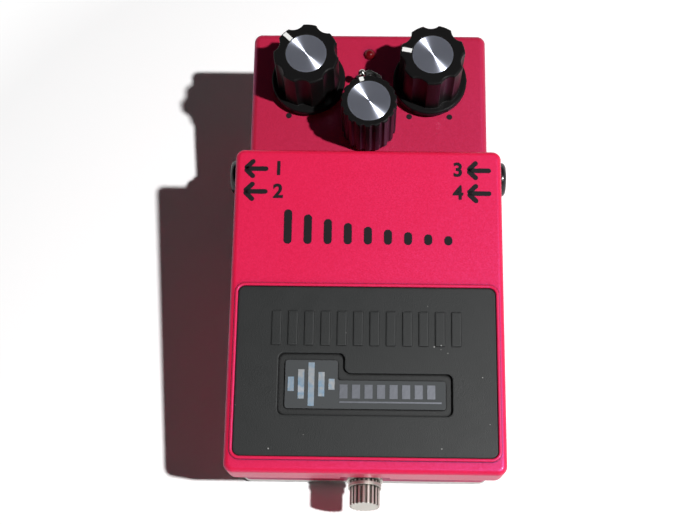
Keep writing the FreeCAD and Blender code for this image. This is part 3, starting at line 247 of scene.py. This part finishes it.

# Case
# A die-cast aluminium box that carries the electronics, sprayed in a deep metallic magenta-red.
# Its sloping deck at the rear is printed with the end marks of the knobs' scales in black ink.
# The case's red is darker than the treadle's red as painted shade on the deck.
case_red, case_edge_highlight = (0.56, 0.015, 0.046), (0.66, 0.035, 0.09)
flake_scale, flake_tilt, flake_shade = 5200.0, 0.09, 0.90
peel_scale, peel_depth = 700.0, 0.000006
paint_edge, paint_gloss, paint_spread, lacquer_roughness = 0.0003, 0.9, 0.05, 0.16
pearl = (0.22, 0.30, 1.0, 1.0)
# Painted shade: the paint's inner corners are darkened towards this tone.
enamel_shade_reach, enamel_corner_shade = 0.0019, (0.12, 0.002, 0.018)
corner_starts, corner_full = 0.93, 0.62
slope = math.radians(12.0)
deck_rear = Vector((0.0, 0.0605, 0.0424))
dot_places = ((-0.0213, 0.0245), (0.0107, 0.0245), (0.0214, 0.0245))
dot_radius, dot_sides = 0.00075, 32
ink_rise, ink_thickness = 0.00002, 0.00005
ink_black = (0.014, 0.012, 0.014)

# Flake: tiny tilted flakes under the lacquer, as a tilted normal and a mask of the bright ones.
flake, ends_in, ends_out = effect(
    "metal_flake",
    {"Scale": ("NodeSocketFloat", 5000.0), "Tilt": ("NodeSocketFloat", 0.1), "Normal": ("NodeSocketVector", None)},
    {"Bright": "NodeSocketFloat", "Normal": "NodeSocketVector"})
place = add(flake, "ShaderNodeTexCoord")
cells = add(flake, "ShaderNodeTexVoronoi", {"Vector": place.outputs["Object"], "Scale": ends_in.outputs["Scale"]})
centred = add(flake, "ShaderNodeVectorMath", {0: cells.outputs["Color"], 1: (0.5, 0.5, 0.5)}, operation="SUBTRACT")
leaning = add(flake, "ShaderNodeVectorMath", {0: centred.outputs[0], "Scale": ends_in.outputs["Tilt"]},
              operation="SCALE")
tilted = add(flake, "ShaderNodeVectorMath", {0: ends_in.outputs["Normal"], 1: leaning.outputs[0]}, operation="ADD")
evened = add(flake, "ShaderNodeVectorMath", {0: tilted.outputs[0]}, operation="NORMALIZE")
pick = add(flake, "ShaderNodeSeparateColor", {0: cells.outputs["Color"]})
flake.links.new(pick.outputs["Red"], ends_out.inputs["Bright"])
flake.links.new(evened.outputs[0], ends_out.inputs["Normal"])

# Creases: a mask of the inner corners, for painted shade where little light reaches.
corner_shade_group, ends_in, ends_out = effect(
    "painted_corner_shade", {"Reach": ("NodeSocketFloat", 0.001)}, {"Mask": "NodeSocketFloat"})
openness = add(corner_shade_group, "ShaderNodeAmbientOcclusion", {"Distance": ends_in.outputs["Reach"]}, samples=8)
closed = add(corner_shade_group, "ShaderNodeMapRange", {"Value": openness.outputs["AO"], "From Min": corner_starts,
                                            "From Max": corner_full, "To Min": 0.0, "To Max": 1.0})
corner_shade_group.links.new(closed.outputs["Result"], ends_out.inputs["Mask"])


def paint_corner_shade(made, reach, tone):
    """Paint shade into a material's inner corners, towards a darker tone; returns the mask."""
    tree = made.node_tree
    base = tree.nodes["Principled BSDF"].inputs["Base Color"]
    shaded_corners = add(tree, "ShaderNodeGroup", node_tree=corner_shade_group)
    shaded_corners.inputs["Reach"].default_value = reach
    lined = add(tree, "ShaderNodeMix", {0: shaded_corners.outputs["Mask"], 6: base.links[0].from_socket, 7: (*tone, 1.0)},
                data_type="RGBA")
    tree.links.new(lined.outputs[2], base)
    return shaded_corners.outputs["Mask"]


def enamel(name, colour, edge_highlight, metallic, roughness, coat):
    """Sprayed metallic paint: flakes in a tinted base under clear lacquer, with a painted highlight on its edges and
    painted shade in its inner corners.
    """
    made, tree, shader = blank(name)
    edge = add(tree, "ShaderNodeGroup", node_tree=soft_edge)
    edge.inputs["Radius"].default_value = paint_edge
    orange_peel = add(tree, "ShaderNodeGroup", node_tree=grain)
    orange_peel.inputs["Scale"].default_value = peel_scale
    orange_peel.inputs["Depth"].default_value = peel_depth
    tree.links.new(edge.outputs["Normal"], orange_peel.inputs["Normal"])
    specks = add(tree, "ShaderNodeGroup", node_tree=flake)
    specks.inputs["Scale"].default_value = flake_scale
    specks.inputs["Tilt"].default_value = flake_tilt
    tree.links.new(orange_peel.outputs["Normal"], specks.inputs["Normal"])
    deep = tuple(c * flake_shade for c in colour)
    base = add(tree, "ShaderNodeMix", {0: specks.outputs["Bright"], 6: (*deep, 1.0), 7: (*colour, 1.0)},
               data_type="RGBA")
    # Paler edges: a painted highlight where the paint's edges catch the light.
    edge_tinted = add(tree, "ShaderNodeMix", {0: edge.outputs["Edge"], 6: base.outputs[2], 7: (*edge_highlight, 1.0)},
                 data_type="RGBA")
    gloss = add(tree, "ShaderNodeMapRange", {"Value": orange_peel.outputs["Mask"], "From Min": mask_low,
                                             "From Max": mask_high, "To Min": roughness + paint_spread,
                                             "To Max": roughness})
    tree.links.new(edge_tinted.outputs[2], shader.inputs["Base Color"])
    tree.links.new(gloss.outputs["Result"], shader.inputs["Roughness"])
    tree.links.new(specks.outputs["Normal"], shader.inputs["Normal"])
    shader.inputs["Metallic"].default_value = metallic
    shader.inputs["Coat Weight"].default_value = coat
    shader.inputs["Coat Roughness"].default_value = lacquer_roughness
    shader.inputs["Specular IOR Level"].default_value = paint_gloss
    shader.inputs["Specular Tint"].default_value = pearl
    # Painted shade in the paint's inner corners.
    paint_corner_shade(made, enamel_shade_reach, enamel_corner_shade)
    return made


case_enamel = enamel("case_enamel", case_red, case_edge_highlight, metallic=0.12, roughness=0.44, coat=0.12)
dress(case_enamel, "case")

printing_ink = surface("printing_ink", ink_black, ink_black, roughness=0.55, scale=1800.0, depth=0.000004,
                       radius=0.00002, spread=0.1, shade=0.3, Specular_IOR_Level=0.15)


def on_slope(corner, x, along, rise):
    """Placement on a top that slopes down from its rear corner; along runs forwards down the slope."""
    tilt = Matrix.Rotation(slope, 4, "X")
    return Matrix.Translation(corner) @ tilt @ Matrix.Translation(Vector((x, -along, rise)))


def settle(piece, placement):
    """Move a new piece to its place and put that into its mesh."""
    bpy.ops.object.select_all(action="DESELECT")
    piece.matrix_world = placement @ piece.matrix_world
    piece.select_set(True)
    bpy.context.view_layer.objects.active = piece
    bpy.ops.object.transform_apply(location=True, rotation=True, scale=True)
    bpy.ops.object.select_all(action="DESELECT")


def join(name, pieces):
    """Join new pieces into one, with its own mesh."""
    bpy.ops.object.select_all(action="DESELECT")
    for piece in pieces:
        piece.select_set(True)
    bpy.context.view_layer.objects.active = pieces[0]
    if len(pieces) > 1:
        bpy.ops.object.join()
    whole = bpy.context.view_layer.objects.active
    whole.name = whole.data.name = name
    bpy.ops.object.select_all(action="DESELECT")
    return whole


def finish_print(name, pieces, body):
    """Join printed marks, give them ink and let them ride on what they are printed on."""
    marks = join(name, pieces)
    marks.data.materials.clear()
    marks.data.materials.append(printing_ink)
    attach(marks, body)


dots = []
for x, along in dot_places:
    bpy.ops.mesh.primitive_cylinder_add(vertices=dot_sides, radius=dot_radius, depth=ink_thickness)
    dot = bpy.context.object
    bpy.ops.object.mode_set(mode="EDIT")
    bpy.ops.mesh.select_all(action="SELECT")
    bpy.ops.mesh.bevel(offset=ink_thickness / 3, segments=1, affect="EDGES")
    bpy.ops.object.mode_set(mode="OBJECT")
    settle(dot, on_slope(deck_rear, x, along, ink_rise))
    dots.append(dot)
finish_print("scale_end_marks", dots, "case")

# Boards, their parts and the battery
# Green circuit boards carry sleeved capacitors and black chips; the nine-volt battery sits over the main board.
# A black snap with two wires joins the battery to the main board, through two holes in the bay's floor.
board_green = surface("board_green", (0.012, 0.075, 0.032), (0.10, 0.12, 0.07), roughness=0.34, scale=900.0,
                      depth=0.00001, radius=0.00012, shade=0.4, Coat_Weight=0.4)
dress(board_green, "main_board", "control_board", "switch_board")
chip_plastic = surface("chip_plastic", (0.018, 0.018, 0.02), (0.03, 0.03, 0.032), roughness=0.46, scale=4200.0,
                       depth=0.00001, radius=0.0001)
dress(chip_plastic, "chips")
capacitor_sleeve = surface("capacitor_sleeve", (0.02, 0.03, 0.10), (0.05, 0.06, 0.14), roughness=0.28, scale=800.0,
                           depth=0.000006, radius=0.0003)
dress(capacitor_sleeve, "capacitors")
battery_jacket = surface("battery_jacket", (0.035, 0.037, 0.045), (0.16, 0.15, 0.13), roughness=0.30, scale=500.0,
                         depth=0.000006, radius=0.0006, Metallic=0.6)
dress(battery_jacket, "battery")
snap_plastic = surface("snap_plastic", (0.02, 0.02, 0.021), (0.035, 0.035, 0.036), roughness=0.5, scale=2600.0,
                       depth=0.00002, radius=0.0003)
dress(snap_plastic, "battery_snap")
lead_rubber = surface("lead_rubber", (0.26, 0.014, 0.016), (0.34, 0.03, 0.03), roughness=0.45, scale=1500.0,
                      depth=0.00001, radius=0.0001)
dress(lead_rubber, "battery_leads")

# Jacks and power socket
# Moulded jacks and a barrel socket, each held in the case's wall by a black nut over a plain washer.
# Brass contact blades stand beside the jacks inside the case, and a brass pin stands in the power socket.
jack_black = surface("jack_black", (0.010, 0.010, 0.011), (0.030, 0.030, 0.032), roughness=0.16, scale=1200.0,
                     depth=0.000006, radius=0.0004, spread=0.1)
dress(jack_black, "left_upper_jack", "left_lower_jack", "right_upper_jack", "right_lower_jack", "power_socket")
black_nickel = surface("black_nickel", (0.06, 0.06, 0.065), (0.20, 0.20, 0.20), roughness=0.24, scale=700.0,
                       depth=0.00001, radius=0.00025, Metallic=1.0)
dress(black_nickel, "jack_nuts", "power_socket_nut")
contact_brass = surface("contact_brass", (0.62, 0.45, 0.20), (0.75, 0.58, 0.30), roughness=0.26, scale=600.0,
                        depth=0.000008, radius=0.0001, Metallic=1.0)
dress(contact_brass, "socket_contacts", "thread_insert")

# Pots, lamp and toggle switch
# Tinned pot cans hang from the deck by their nuts, with turned shafts; the lamp is a red dome in a black spacer.
# The small toggle switch has a nickel nut and a chromed lever.
tinned_can = surface("tinned_can", (0.50, 0.50, 0.48), (0.66, 0.66, 0.64), roughness=0.34, scale=500.0, depth=0.00001,
                     radius=0.0003, Metallic=1.0)
dress(tinned_can, "left_pot", "centre_pot", "right_pot")
turned_shaft = surface("turned_shaft", (0.66, 0.66, 0.66), (0.8, 0.8, 0.8), roughness=0.28, scale=1500.0,
                       depth=0.00001, radius=0.0002, Metallic=1.0)
dress(turned_shaft, "left_pot_shaft", "centre_pot_shaft", "right_pot_shaft")
bright_nickel = surface("bright_nickel", (0.72, 0.70, 0.67), (0.86, 0.84, 0.80), roughness=0.17, scale=900.0,
                        depth=0.000008, radius=0.00015, Metallic=1.0)
dress(bright_nickel, "toggle_nut", "toggle_lever", "pot_nuts", "jack_washers")
spacer_plastic = surface("spacer_plastic", (0.02, 0.02, 0.02), (0.04, 0.04, 0.04), roughness=0.5, scale=2500.0,
                         depth=0.00001, radius=0.0002)
dress(spacer_plastic, "led_spacer", "toggle_body")
# The lamp's much brighter red on its edges is a painted glow along the lens's rim.
lamp_red = surface("lamp_red", (0.15, 0.002, 0.005), (0.62, 0.012, 0.03), roughness=0.05, scale=400.0, depth=0.000003,
                   radius=0.0002, spread=0.03, Specular_IOR_Level=0.3)
dress(lamp_red, "led")

# Knobs
# Gloss black moulded knobs, scalloped all round, each pressed on its pot's shaft with a white pointer line.
# A spun aluminium disc is let into the top; its fine turned rings give the fan of light from a small lamp.
# The knobs' paler edge colour is a painted glint along the scallops.
knob_gloss = surface("knob_gloss", (0.0095, 0.0092, 0.0094), (0.034, 0.033, 0.033), roughness=0.30, scale=700.0,
                     depth=0.000006, radius=0.00035, spread=0.05, Specular_IOR_Level=0.06)
dress(knob_gloss, "left_knob", "centre_knob", "right_knob")
pointer_paint = surface("pointer_paint", (0.84, 0.84, 0.82), (0.88, 0.88, 0.86), roughness=0.4, scale=2000.0,
                        depth=0.00001, radius=0.0001, shade=0.08)
dress(pointer_paint, "left_knob_pointer", "centre_knob_pointer", "right_knob_pointer")
cap_sides, cap_rings, cap_ring_span = 96, 14, 0.92
cap_bevel_share = 0.3
facing_up, level = 0.9, 0.99
cap_colour, cap_brighter = (0.74, 0.78, 0.93), 1.07
lathe_scale, lathe_depth = 90.0, 0.000003
cap_smooth, cap_rough, cap_metallic = 0.29, 0.36, 0.93

spun, tree, shader = blank("spun_aluminium")
polar = add(tree, "ShaderNodeUVMap", uv_map="spin")
split = add(tree, "ShaderNodeSeparateXYZ", {0: polar.outputs["UV"]})
ring_place = add(tree, "ShaderNodeCombineXYZ", {"X": split.outputs["Y"]})
rings = add(tree, "ShaderNodeTexNoise", {"Vector": ring_place.outputs[0], "Scale": lathe_scale, "Detail": 4.0,
                                         "Roughness": 0.7})
shine = add(tree, "ShaderNodeMapRange", {"Value": rings.outputs["Fac"], "From Min": mask_low, "From Max": mask_high,
                                         "To Min": cap_smooth, "To Max": cap_rough})
bright = tuple(c * cap_brighter for c in cap_colour)
tone = add(tree, "ShaderNodeMix", {0: rings.outputs["Fac"], 6: (*cap_colour, 1.0), 7: (*bright, 1.0)},
           data_type="RGBA")
turned = add(tree, "ShaderNodeBump", {"Height": rings.outputs["Fac"], "Distance": lathe_depth, "Strength": 0.5})
tree.links.new(tone.outputs[2], shader.inputs["Base Color"])
tree.links.new(shine.outputs["Result"], shader.inputs["Roughness"])
tree.links.new(turned.outputs["Normal"], shader.inputs["Normal"])
around = add(tree, "ShaderNodeTangent", direction_type="UV_MAP", uv_map="spin")
tree.links.new(around.outputs["Tangent"], shader.inputs["Tangent"])
shader.inputs["Metallic"].default_value = cap_metallic
shader.inputs["Anisotropic"].default_value = 1.0
shader.inputs["Anisotropic Rotation"].default_value = 0.25

for side in ("left", "centre", "right"):
    low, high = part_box(side + "_knob_cap")
    middle = (low + high) / 2
    radius = (high.x - low.x) / 2
    thickness = ((high.z - low.z) - 2 * radius * math.sin(slope)) / math.cos(slope)
    bpy.ops.mesh.primitive_cylinder_add(vertices=cap_sides, radius=radius, depth=thickness)
    disc = bpy.context.object
    disc.name = disc.data.name = side + "_spun_cap"
    bpy.ops.object.mode_set(mode="EDIT")
    bpy.ops.mesh.select_mode(type="FACE")
    shape = bmesh.from_edit_mesh(disc.data)
    for face in shape.faces:
        face.select_set(face.normal.z > facing_up)
    bmesh.update_edit_mesh(disc.data)
    bpy.ops.mesh.bevel(offset=thickness * cap_bevel_share, segments=2, affect="EDGES")
    shape = bmesh.from_edit_mesh(disc.data)
    for face in shape.faces:
        face.select_set(face.normal.z > level and len(face.verts) == cap_sides)
    bmesh.update_edit_mesh(disc.data)
    for k in range(cap_rings):
        bpy.ops.mesh.inset(thickness=radius * cap_ring_span / cap_rings, depth=0)
    bpy.ops.object.mode_set(mode="OBJECT")
    layer = disc.data.uv_layers.new(name="spin")
    disc.data.uv_layers.active = layer
    for face in disc.data.polygons:
        centre_angle = math.atan2(face.center.y, face.center.x)
        for corner in face.loop_indices:
            point = disc.data.vertices[disc.data.loops[corner].vertex_index].co
            angle = math.atan2(point.y, point.x)
            angle += 2 * math.pi * round((centre_angle - angle) / (2 * math.pi))
            layer.data[corner].uv = (angle / (2 * math.pi), math.hypot(point.x, point.y) / radius)
    bpy.ops.object.select_all(action="DESELECT")
    settle(disc, Matrix.Translation(middle) @ Matrix.Rotation(slope, 4, "X"))
    disc.data.materials.clear()
    disc.data.materials.append(spun)
    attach(disc, side + "_knob")
    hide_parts(side + "_knob_cap")

# Treadle
# A die-cast lid, hinged at the rear, painted a brighter red than the case, whose darker red is painted shade.
# Black ink on it shows the plugs' direction beside plain numbers, and a row of fading bars for the echo.
# The treadle's pale pink edge colour is a painted highlight along its rims.
treadle_red, treadle_edge_highlight = (0.79, 0.010, 0.052), (0.90, 0.17, 0.32)
treadle_rear = Vector((0.0, 0.017, 0.0508))
arrow_rows = (0.00535, 0.01135)
arrow_tips = (-0.0305, 0.02465)
arrow_length, arrow_head, arrow_stroke = 0.0057, 0.0038, 0.00115
barb_angle = math.radians(45)
stroke_rounding = 0.49
number_places = (("1", -0.0222, 0.00535), ("2", -0.0222, 0.01135), ("3", 0.0222, 0.00535), ("4", 0.0222, 0.01135))
number_height, number_weight = 0.0035, 0.00013
digit_share = 0.70
echo_left, echo_pitch = -0.0195, 0.0049
echo_heights = (0.00875, 0.0075, 0.0064, 0.0054, 0.0045, 0.0038, 0.0032, 0.0027, 0.0023)
echo_front, echo_stroke = 0.02475, 0.0019

treadle_enamel = enamel("treadle_enamel", treadle_red, treadle_edge_highlight, metallic=0.0, roughness=0.42, coat=0.10)
dress(treadle_enamel, "treadle")


def stroke(length, width, x, along, turn=0.0):
    """A flat printed stroke with rounded ends, centred at x and along on the treadle's top."""
    bpy.ops.mesh.primitive_plane_add(size=1.0)
    line = bpy.context.object
    line.scale = (length, width, 1.0)
    bpy.ops.object.transform_apply(location=False, rotation=False, scale=True)
    bpy.ops.object.mode_set(mode="EDIT")
    bpy.ops.mesh.select_all(action="SELECT")
    bpy.ops.mesh.bevel(offset=width * stroke_rounding, segments=6, affect="VERTICES")
    bpy.ops.mesh.extrude_region_move(TRANSFORM_OT_translate={"value": (0, 0, ink_thickness)})
    bpy.ops.mesh.select_all(action="SELECT")
    bpy.ops.mesh.normals_make_consistent(inside=False)
    bpy.ops.object.mode_set(mode="OBJECT")
    settle(line, on_slope(treadle_rear, x, along, ink_rise) @ Matrix.Rotation(turn, 4, "Z"))
    return line


printed = []
for tip in arrow_tips:
    for row in arrow_rows:
        printed.append(stroke(arrow_length, arrow_stroke, tip + arrow_length / 2, row))
        barb = arrow_head / 2 / math.sin(barb_angle) + arrow_stroke / 2
        reach = barb / 2 * math.cos(barb_angle)
        for way in (-1, 1):
            printed.append(stroke(barb, arrow_stroke, tip + reach, row - way * reach, way * barb_angle))
for k, bar in enumerate(echo_heights):
    printed.append(stroke(bar, echo_stroke, echo_left + k * echo_pitch, echo_front - bar / 2, math.radians(90)))
finish_print("arrows_and_echo_bars", printed, "treadle")

numbers = []
for digit, x, along in number_places:
    bpy.ops.object.text_add()
    text = bpy.context.object
    text.data.body = digit
    text.data.size = number_height / digit_share
    text.data.align_x = "CENTER"
    text.data.align_y = "CENTER"
    text.data.offset = number_weight
    text.data.extrude = ink_thickness / 2
    bpy.ops.object.convert(target="MESH")
    text = bpy.context.object
    settle(text, on_slope(treadle_rear, x, along, ink_rise + ink_thickness / 2))
    numbers.append(text)
finish_print("plug_numbers", numbers, "treadle")

# Pad and badge
# A moulded rubber pad glued into the treadle, with plain raised ribs and a stepped recess.
# The recess holds a semi-gloss dark plate with plain level bars in silver holographic foil.
pad_dark, pad_rub = (0.014, 0.0155, 0.0155), (0.040, 0.043, 0.043)
dust_scale, dust_cover, dust_size = 620.0, 0.055, 0.11
dust_tone = (0.32, 0.32, 0.31, 1.0)
# Painted shade: the pad's inner corners, the feet of its ribs and the recess's steps are darkened towards this tone.
pad_shade_reach, pad_corner_shade = 0.0011, (0.0012, 0.0013, 0.0014)
foil_join, foil_dull = -0.0068, (0.22, 0.23, 0.26, 1.0)
foil_drift, foil_facets, foil_ripple = 190.0, 1300.0, 0.00003
foil_metallic, foil_roughness = 0.7, 0.36
foil_grey, foil_blue, foil_pale = (0.52, 0.54, 0.56, 1.0), (0.30, 0.46, 0.62, 1.0), (0.60, 0.64, 0.70, 1.0)

# Dust: a few pale specks, scattered at random.
dust, ends_in, ends_out = effect(
    "lying_dust", {"Scale": ("NodeSocketFloat", 600.0), "Cover": ("NodeSocketFloat", 0.05)},
    {"Mask": "NodeSocketFloat"})
place = add(dust, "ShaderNodeTexCoord")
motes = add(dust, "ShaderNodeTexVoronoi", {"Vector": place.outputs["Object"], "Scale": ends_in.outputs["Scale"]})
mote_size = add(dust, "ShaderNodeMath", {0: motes.outputs["Distance"], 1: dust_size}, operation="LESS_THAN")
chance = add(dust, "ShaderNodeSeparateColor", {0: motes.outputs["Color"]})
chosen = add(dust, "ShaderNodeMath", {0: chance.outputs["Red"], 1: ends_in.outputs["Cover"]}, operation="LESS_THAN")
both = add(dust, "ShaderNodeMath", {0: mote_size.outputs[0], 1: chosen.outputs[0]}, operation="MULTIPLY")
dust.links.new(both.outputs[0], ends_out.inputs["Mask"])

pad_rubber = surface("pad_rubber", pad_dark, pad_rub, roughness=0.46, scale=3400.0, depth=0.00004, radius=0.00045,
                     spread=0.08, shade=0.12, Specular_IOR_Level=0.42)
# Painted shade in the pad's inner corners, which are also made rougher.
shaded_corners = paint_corner_shade(pad_rubber, pad_shade_reach, pad_corner_shade)
tree = pad_rubber.node_tree
shader = tree.nodes["Principled BSDF"]
specks = add(tree, "ShaderNodeGroup", node_tree=dust)
specks.inputs["Scale"].default_value = dust_scale
specks.inputs["Cover"].default_value = dust_cover
clean = shader.inputs["Base Color"].links[0].from_socket
dusty = add(tree, "ShaderNodeMix", {0: specks.outputs["Mask"], 6: clean, 7: dust_tone}, data_type="RGBA")
smooth = shader.inputs["Roughness"].links[0].from_socket
dulled = add(tree, "ShaderNodeMath", {0: shaded_corners, 1: smooth}, operation="MAXIMUM")
tree.links.new(dulled.outputs[0], shader.inputs["Roughness"])
tree.links.new(dusty.outputs[2], shader.inputs["Base Color"])
dress(pad_rubber, "treadle_pad")

badge_gloss = surface("badge_gloss", (0.075, 0.080, 0.083), (0.10, 0.10, 0.105), roughness=0.20, scale=900.0,
                      depth=0.000006, radius=0.0002, spread=0.1, shade=0.15, Coat_Weight=0.3)
dress(badge_gloss, "badge_plate")

foil, tree, shader = blank("holographic_foil")
place = add(tree, "ShaderNodeTexCoord")
drift = add(tree, "ShaderNodeTexNoise", {"Vector": place.outputs["Object"], "Scale": foil_drift, "Detail": 2.0,
                                         "Distortion": 1.2})
hues = add(tree, "ShaderNodeValToRGB", {"Fac": drift.outputs["Fac"]})
stops = hues.color_ramp.elements
stops[0].position, stops[0].color = 0.40, foil_grey
stops[1].position, stops[1].color = 0.66, foil_pale
middle_stop = stops.new(0.56)
middle_stop.color = foil_blue
facets = add(tree, "ShaderNodeTexVoronoi", {"Vector": place.outputs["Object"], "Scale": foil_facets})
ripple = add(tree, "ShaderNodeBump", {"Height": facets.outputs["Distance"], "Distance": foil_ripple, "Strength": 0.4})
across = add(tree, "ShaderNodeSeparateXYZ", {0: place.outputs["Object"]})
past_join = add(tree, "ShaderNodeMath", {0: across.outputs["X"], 1: foil_join}, operation="GREATER_THAN")
film = add(tree, "ShaderNodeMix", {0: past_join.outputs[0], 6: hues.outputs["Color"], 7: foil_dull}, data_type="RGBA")
tree.links.new(film.outputs[2], shader.inputs["Base Color"])
tree.links.new(ripple.outputs["Normal"], shader.inputs["Normal"])
shader.inputs["Metallic"].default_value = foil_metallic
shader.inputs["Roughness"].default_value = foil_roughness
dress(foil, "badge_symbol")

# Hinge, return spring and foot switch
# Headed steel pins turn in nylon bushes; a wire spring stands between a seat and a cup under the treadle.
# A zinc-plated sleeve under the treadle works the switch's pale plunger.
natural_nylon = surface("natural_nylon", (0.72, 0.70, 0.62), (0.80, 0.78, 0.70), roughness=0.45, scale=1400.0,
                        depth=0.00001, radius=0.0003, Subsurface_Weight=0.1, Subsurface_Scale=0.001)
dress(natural_nylon, "guide_bush", "hinge_bushes", "switch_plunger")
black_nylon = surface("black_nylon", (0.022, 0.022, 0.022), (0.04, 0.04, 0.04), roughness=0.48, scale=2200.0,
                      depth=0.00001, radius=0.0003)
dress(black_nylon, "spring_seat", "spring_cup", "switch_body")
spring_wire = surface("spring_wire", (0.56, 0.56, 0.55), (0.70, 0.70, 0.68), roughness=0.22, scale=1600.0,
                      depth=0.00001, radius=0.0001, Metallic=1.0)
dress(spring_wire, "return_spring", "hinge_pins", "pin_clips")
dress(zinc_steel, "board_screws", "switch_actuator")

# Thumbscrew
# A knurled brass screw, nickel plated and worn a little warm, that holds the treadle shut.
# It turns in a brass insert in the case's front wall, over a plain washer.
# Painted shade: the knurl's grooves are darkened towards this tone.
knurl_shade_reach, knurl_groove_shade = 0.0007, (0.17, 0.165, 0.145)
knurl_nickel = surface("knurl_nickel", (0.72, 0.72, 0.66), (0.94, 0.93, 0.88), roughness=0.38, scale=1100.0,
                       depth=0.00001, radius=0.00012, spread=0.12, Metallic=1.0)
# Painted shade in the knurl's grooves.
paint_corner_shade(knurl_nickel, knurl_shade_reach, knurl_groove_shade)
dress(knurl_nickel, "thumbscrew", "thumbscrew_washer")
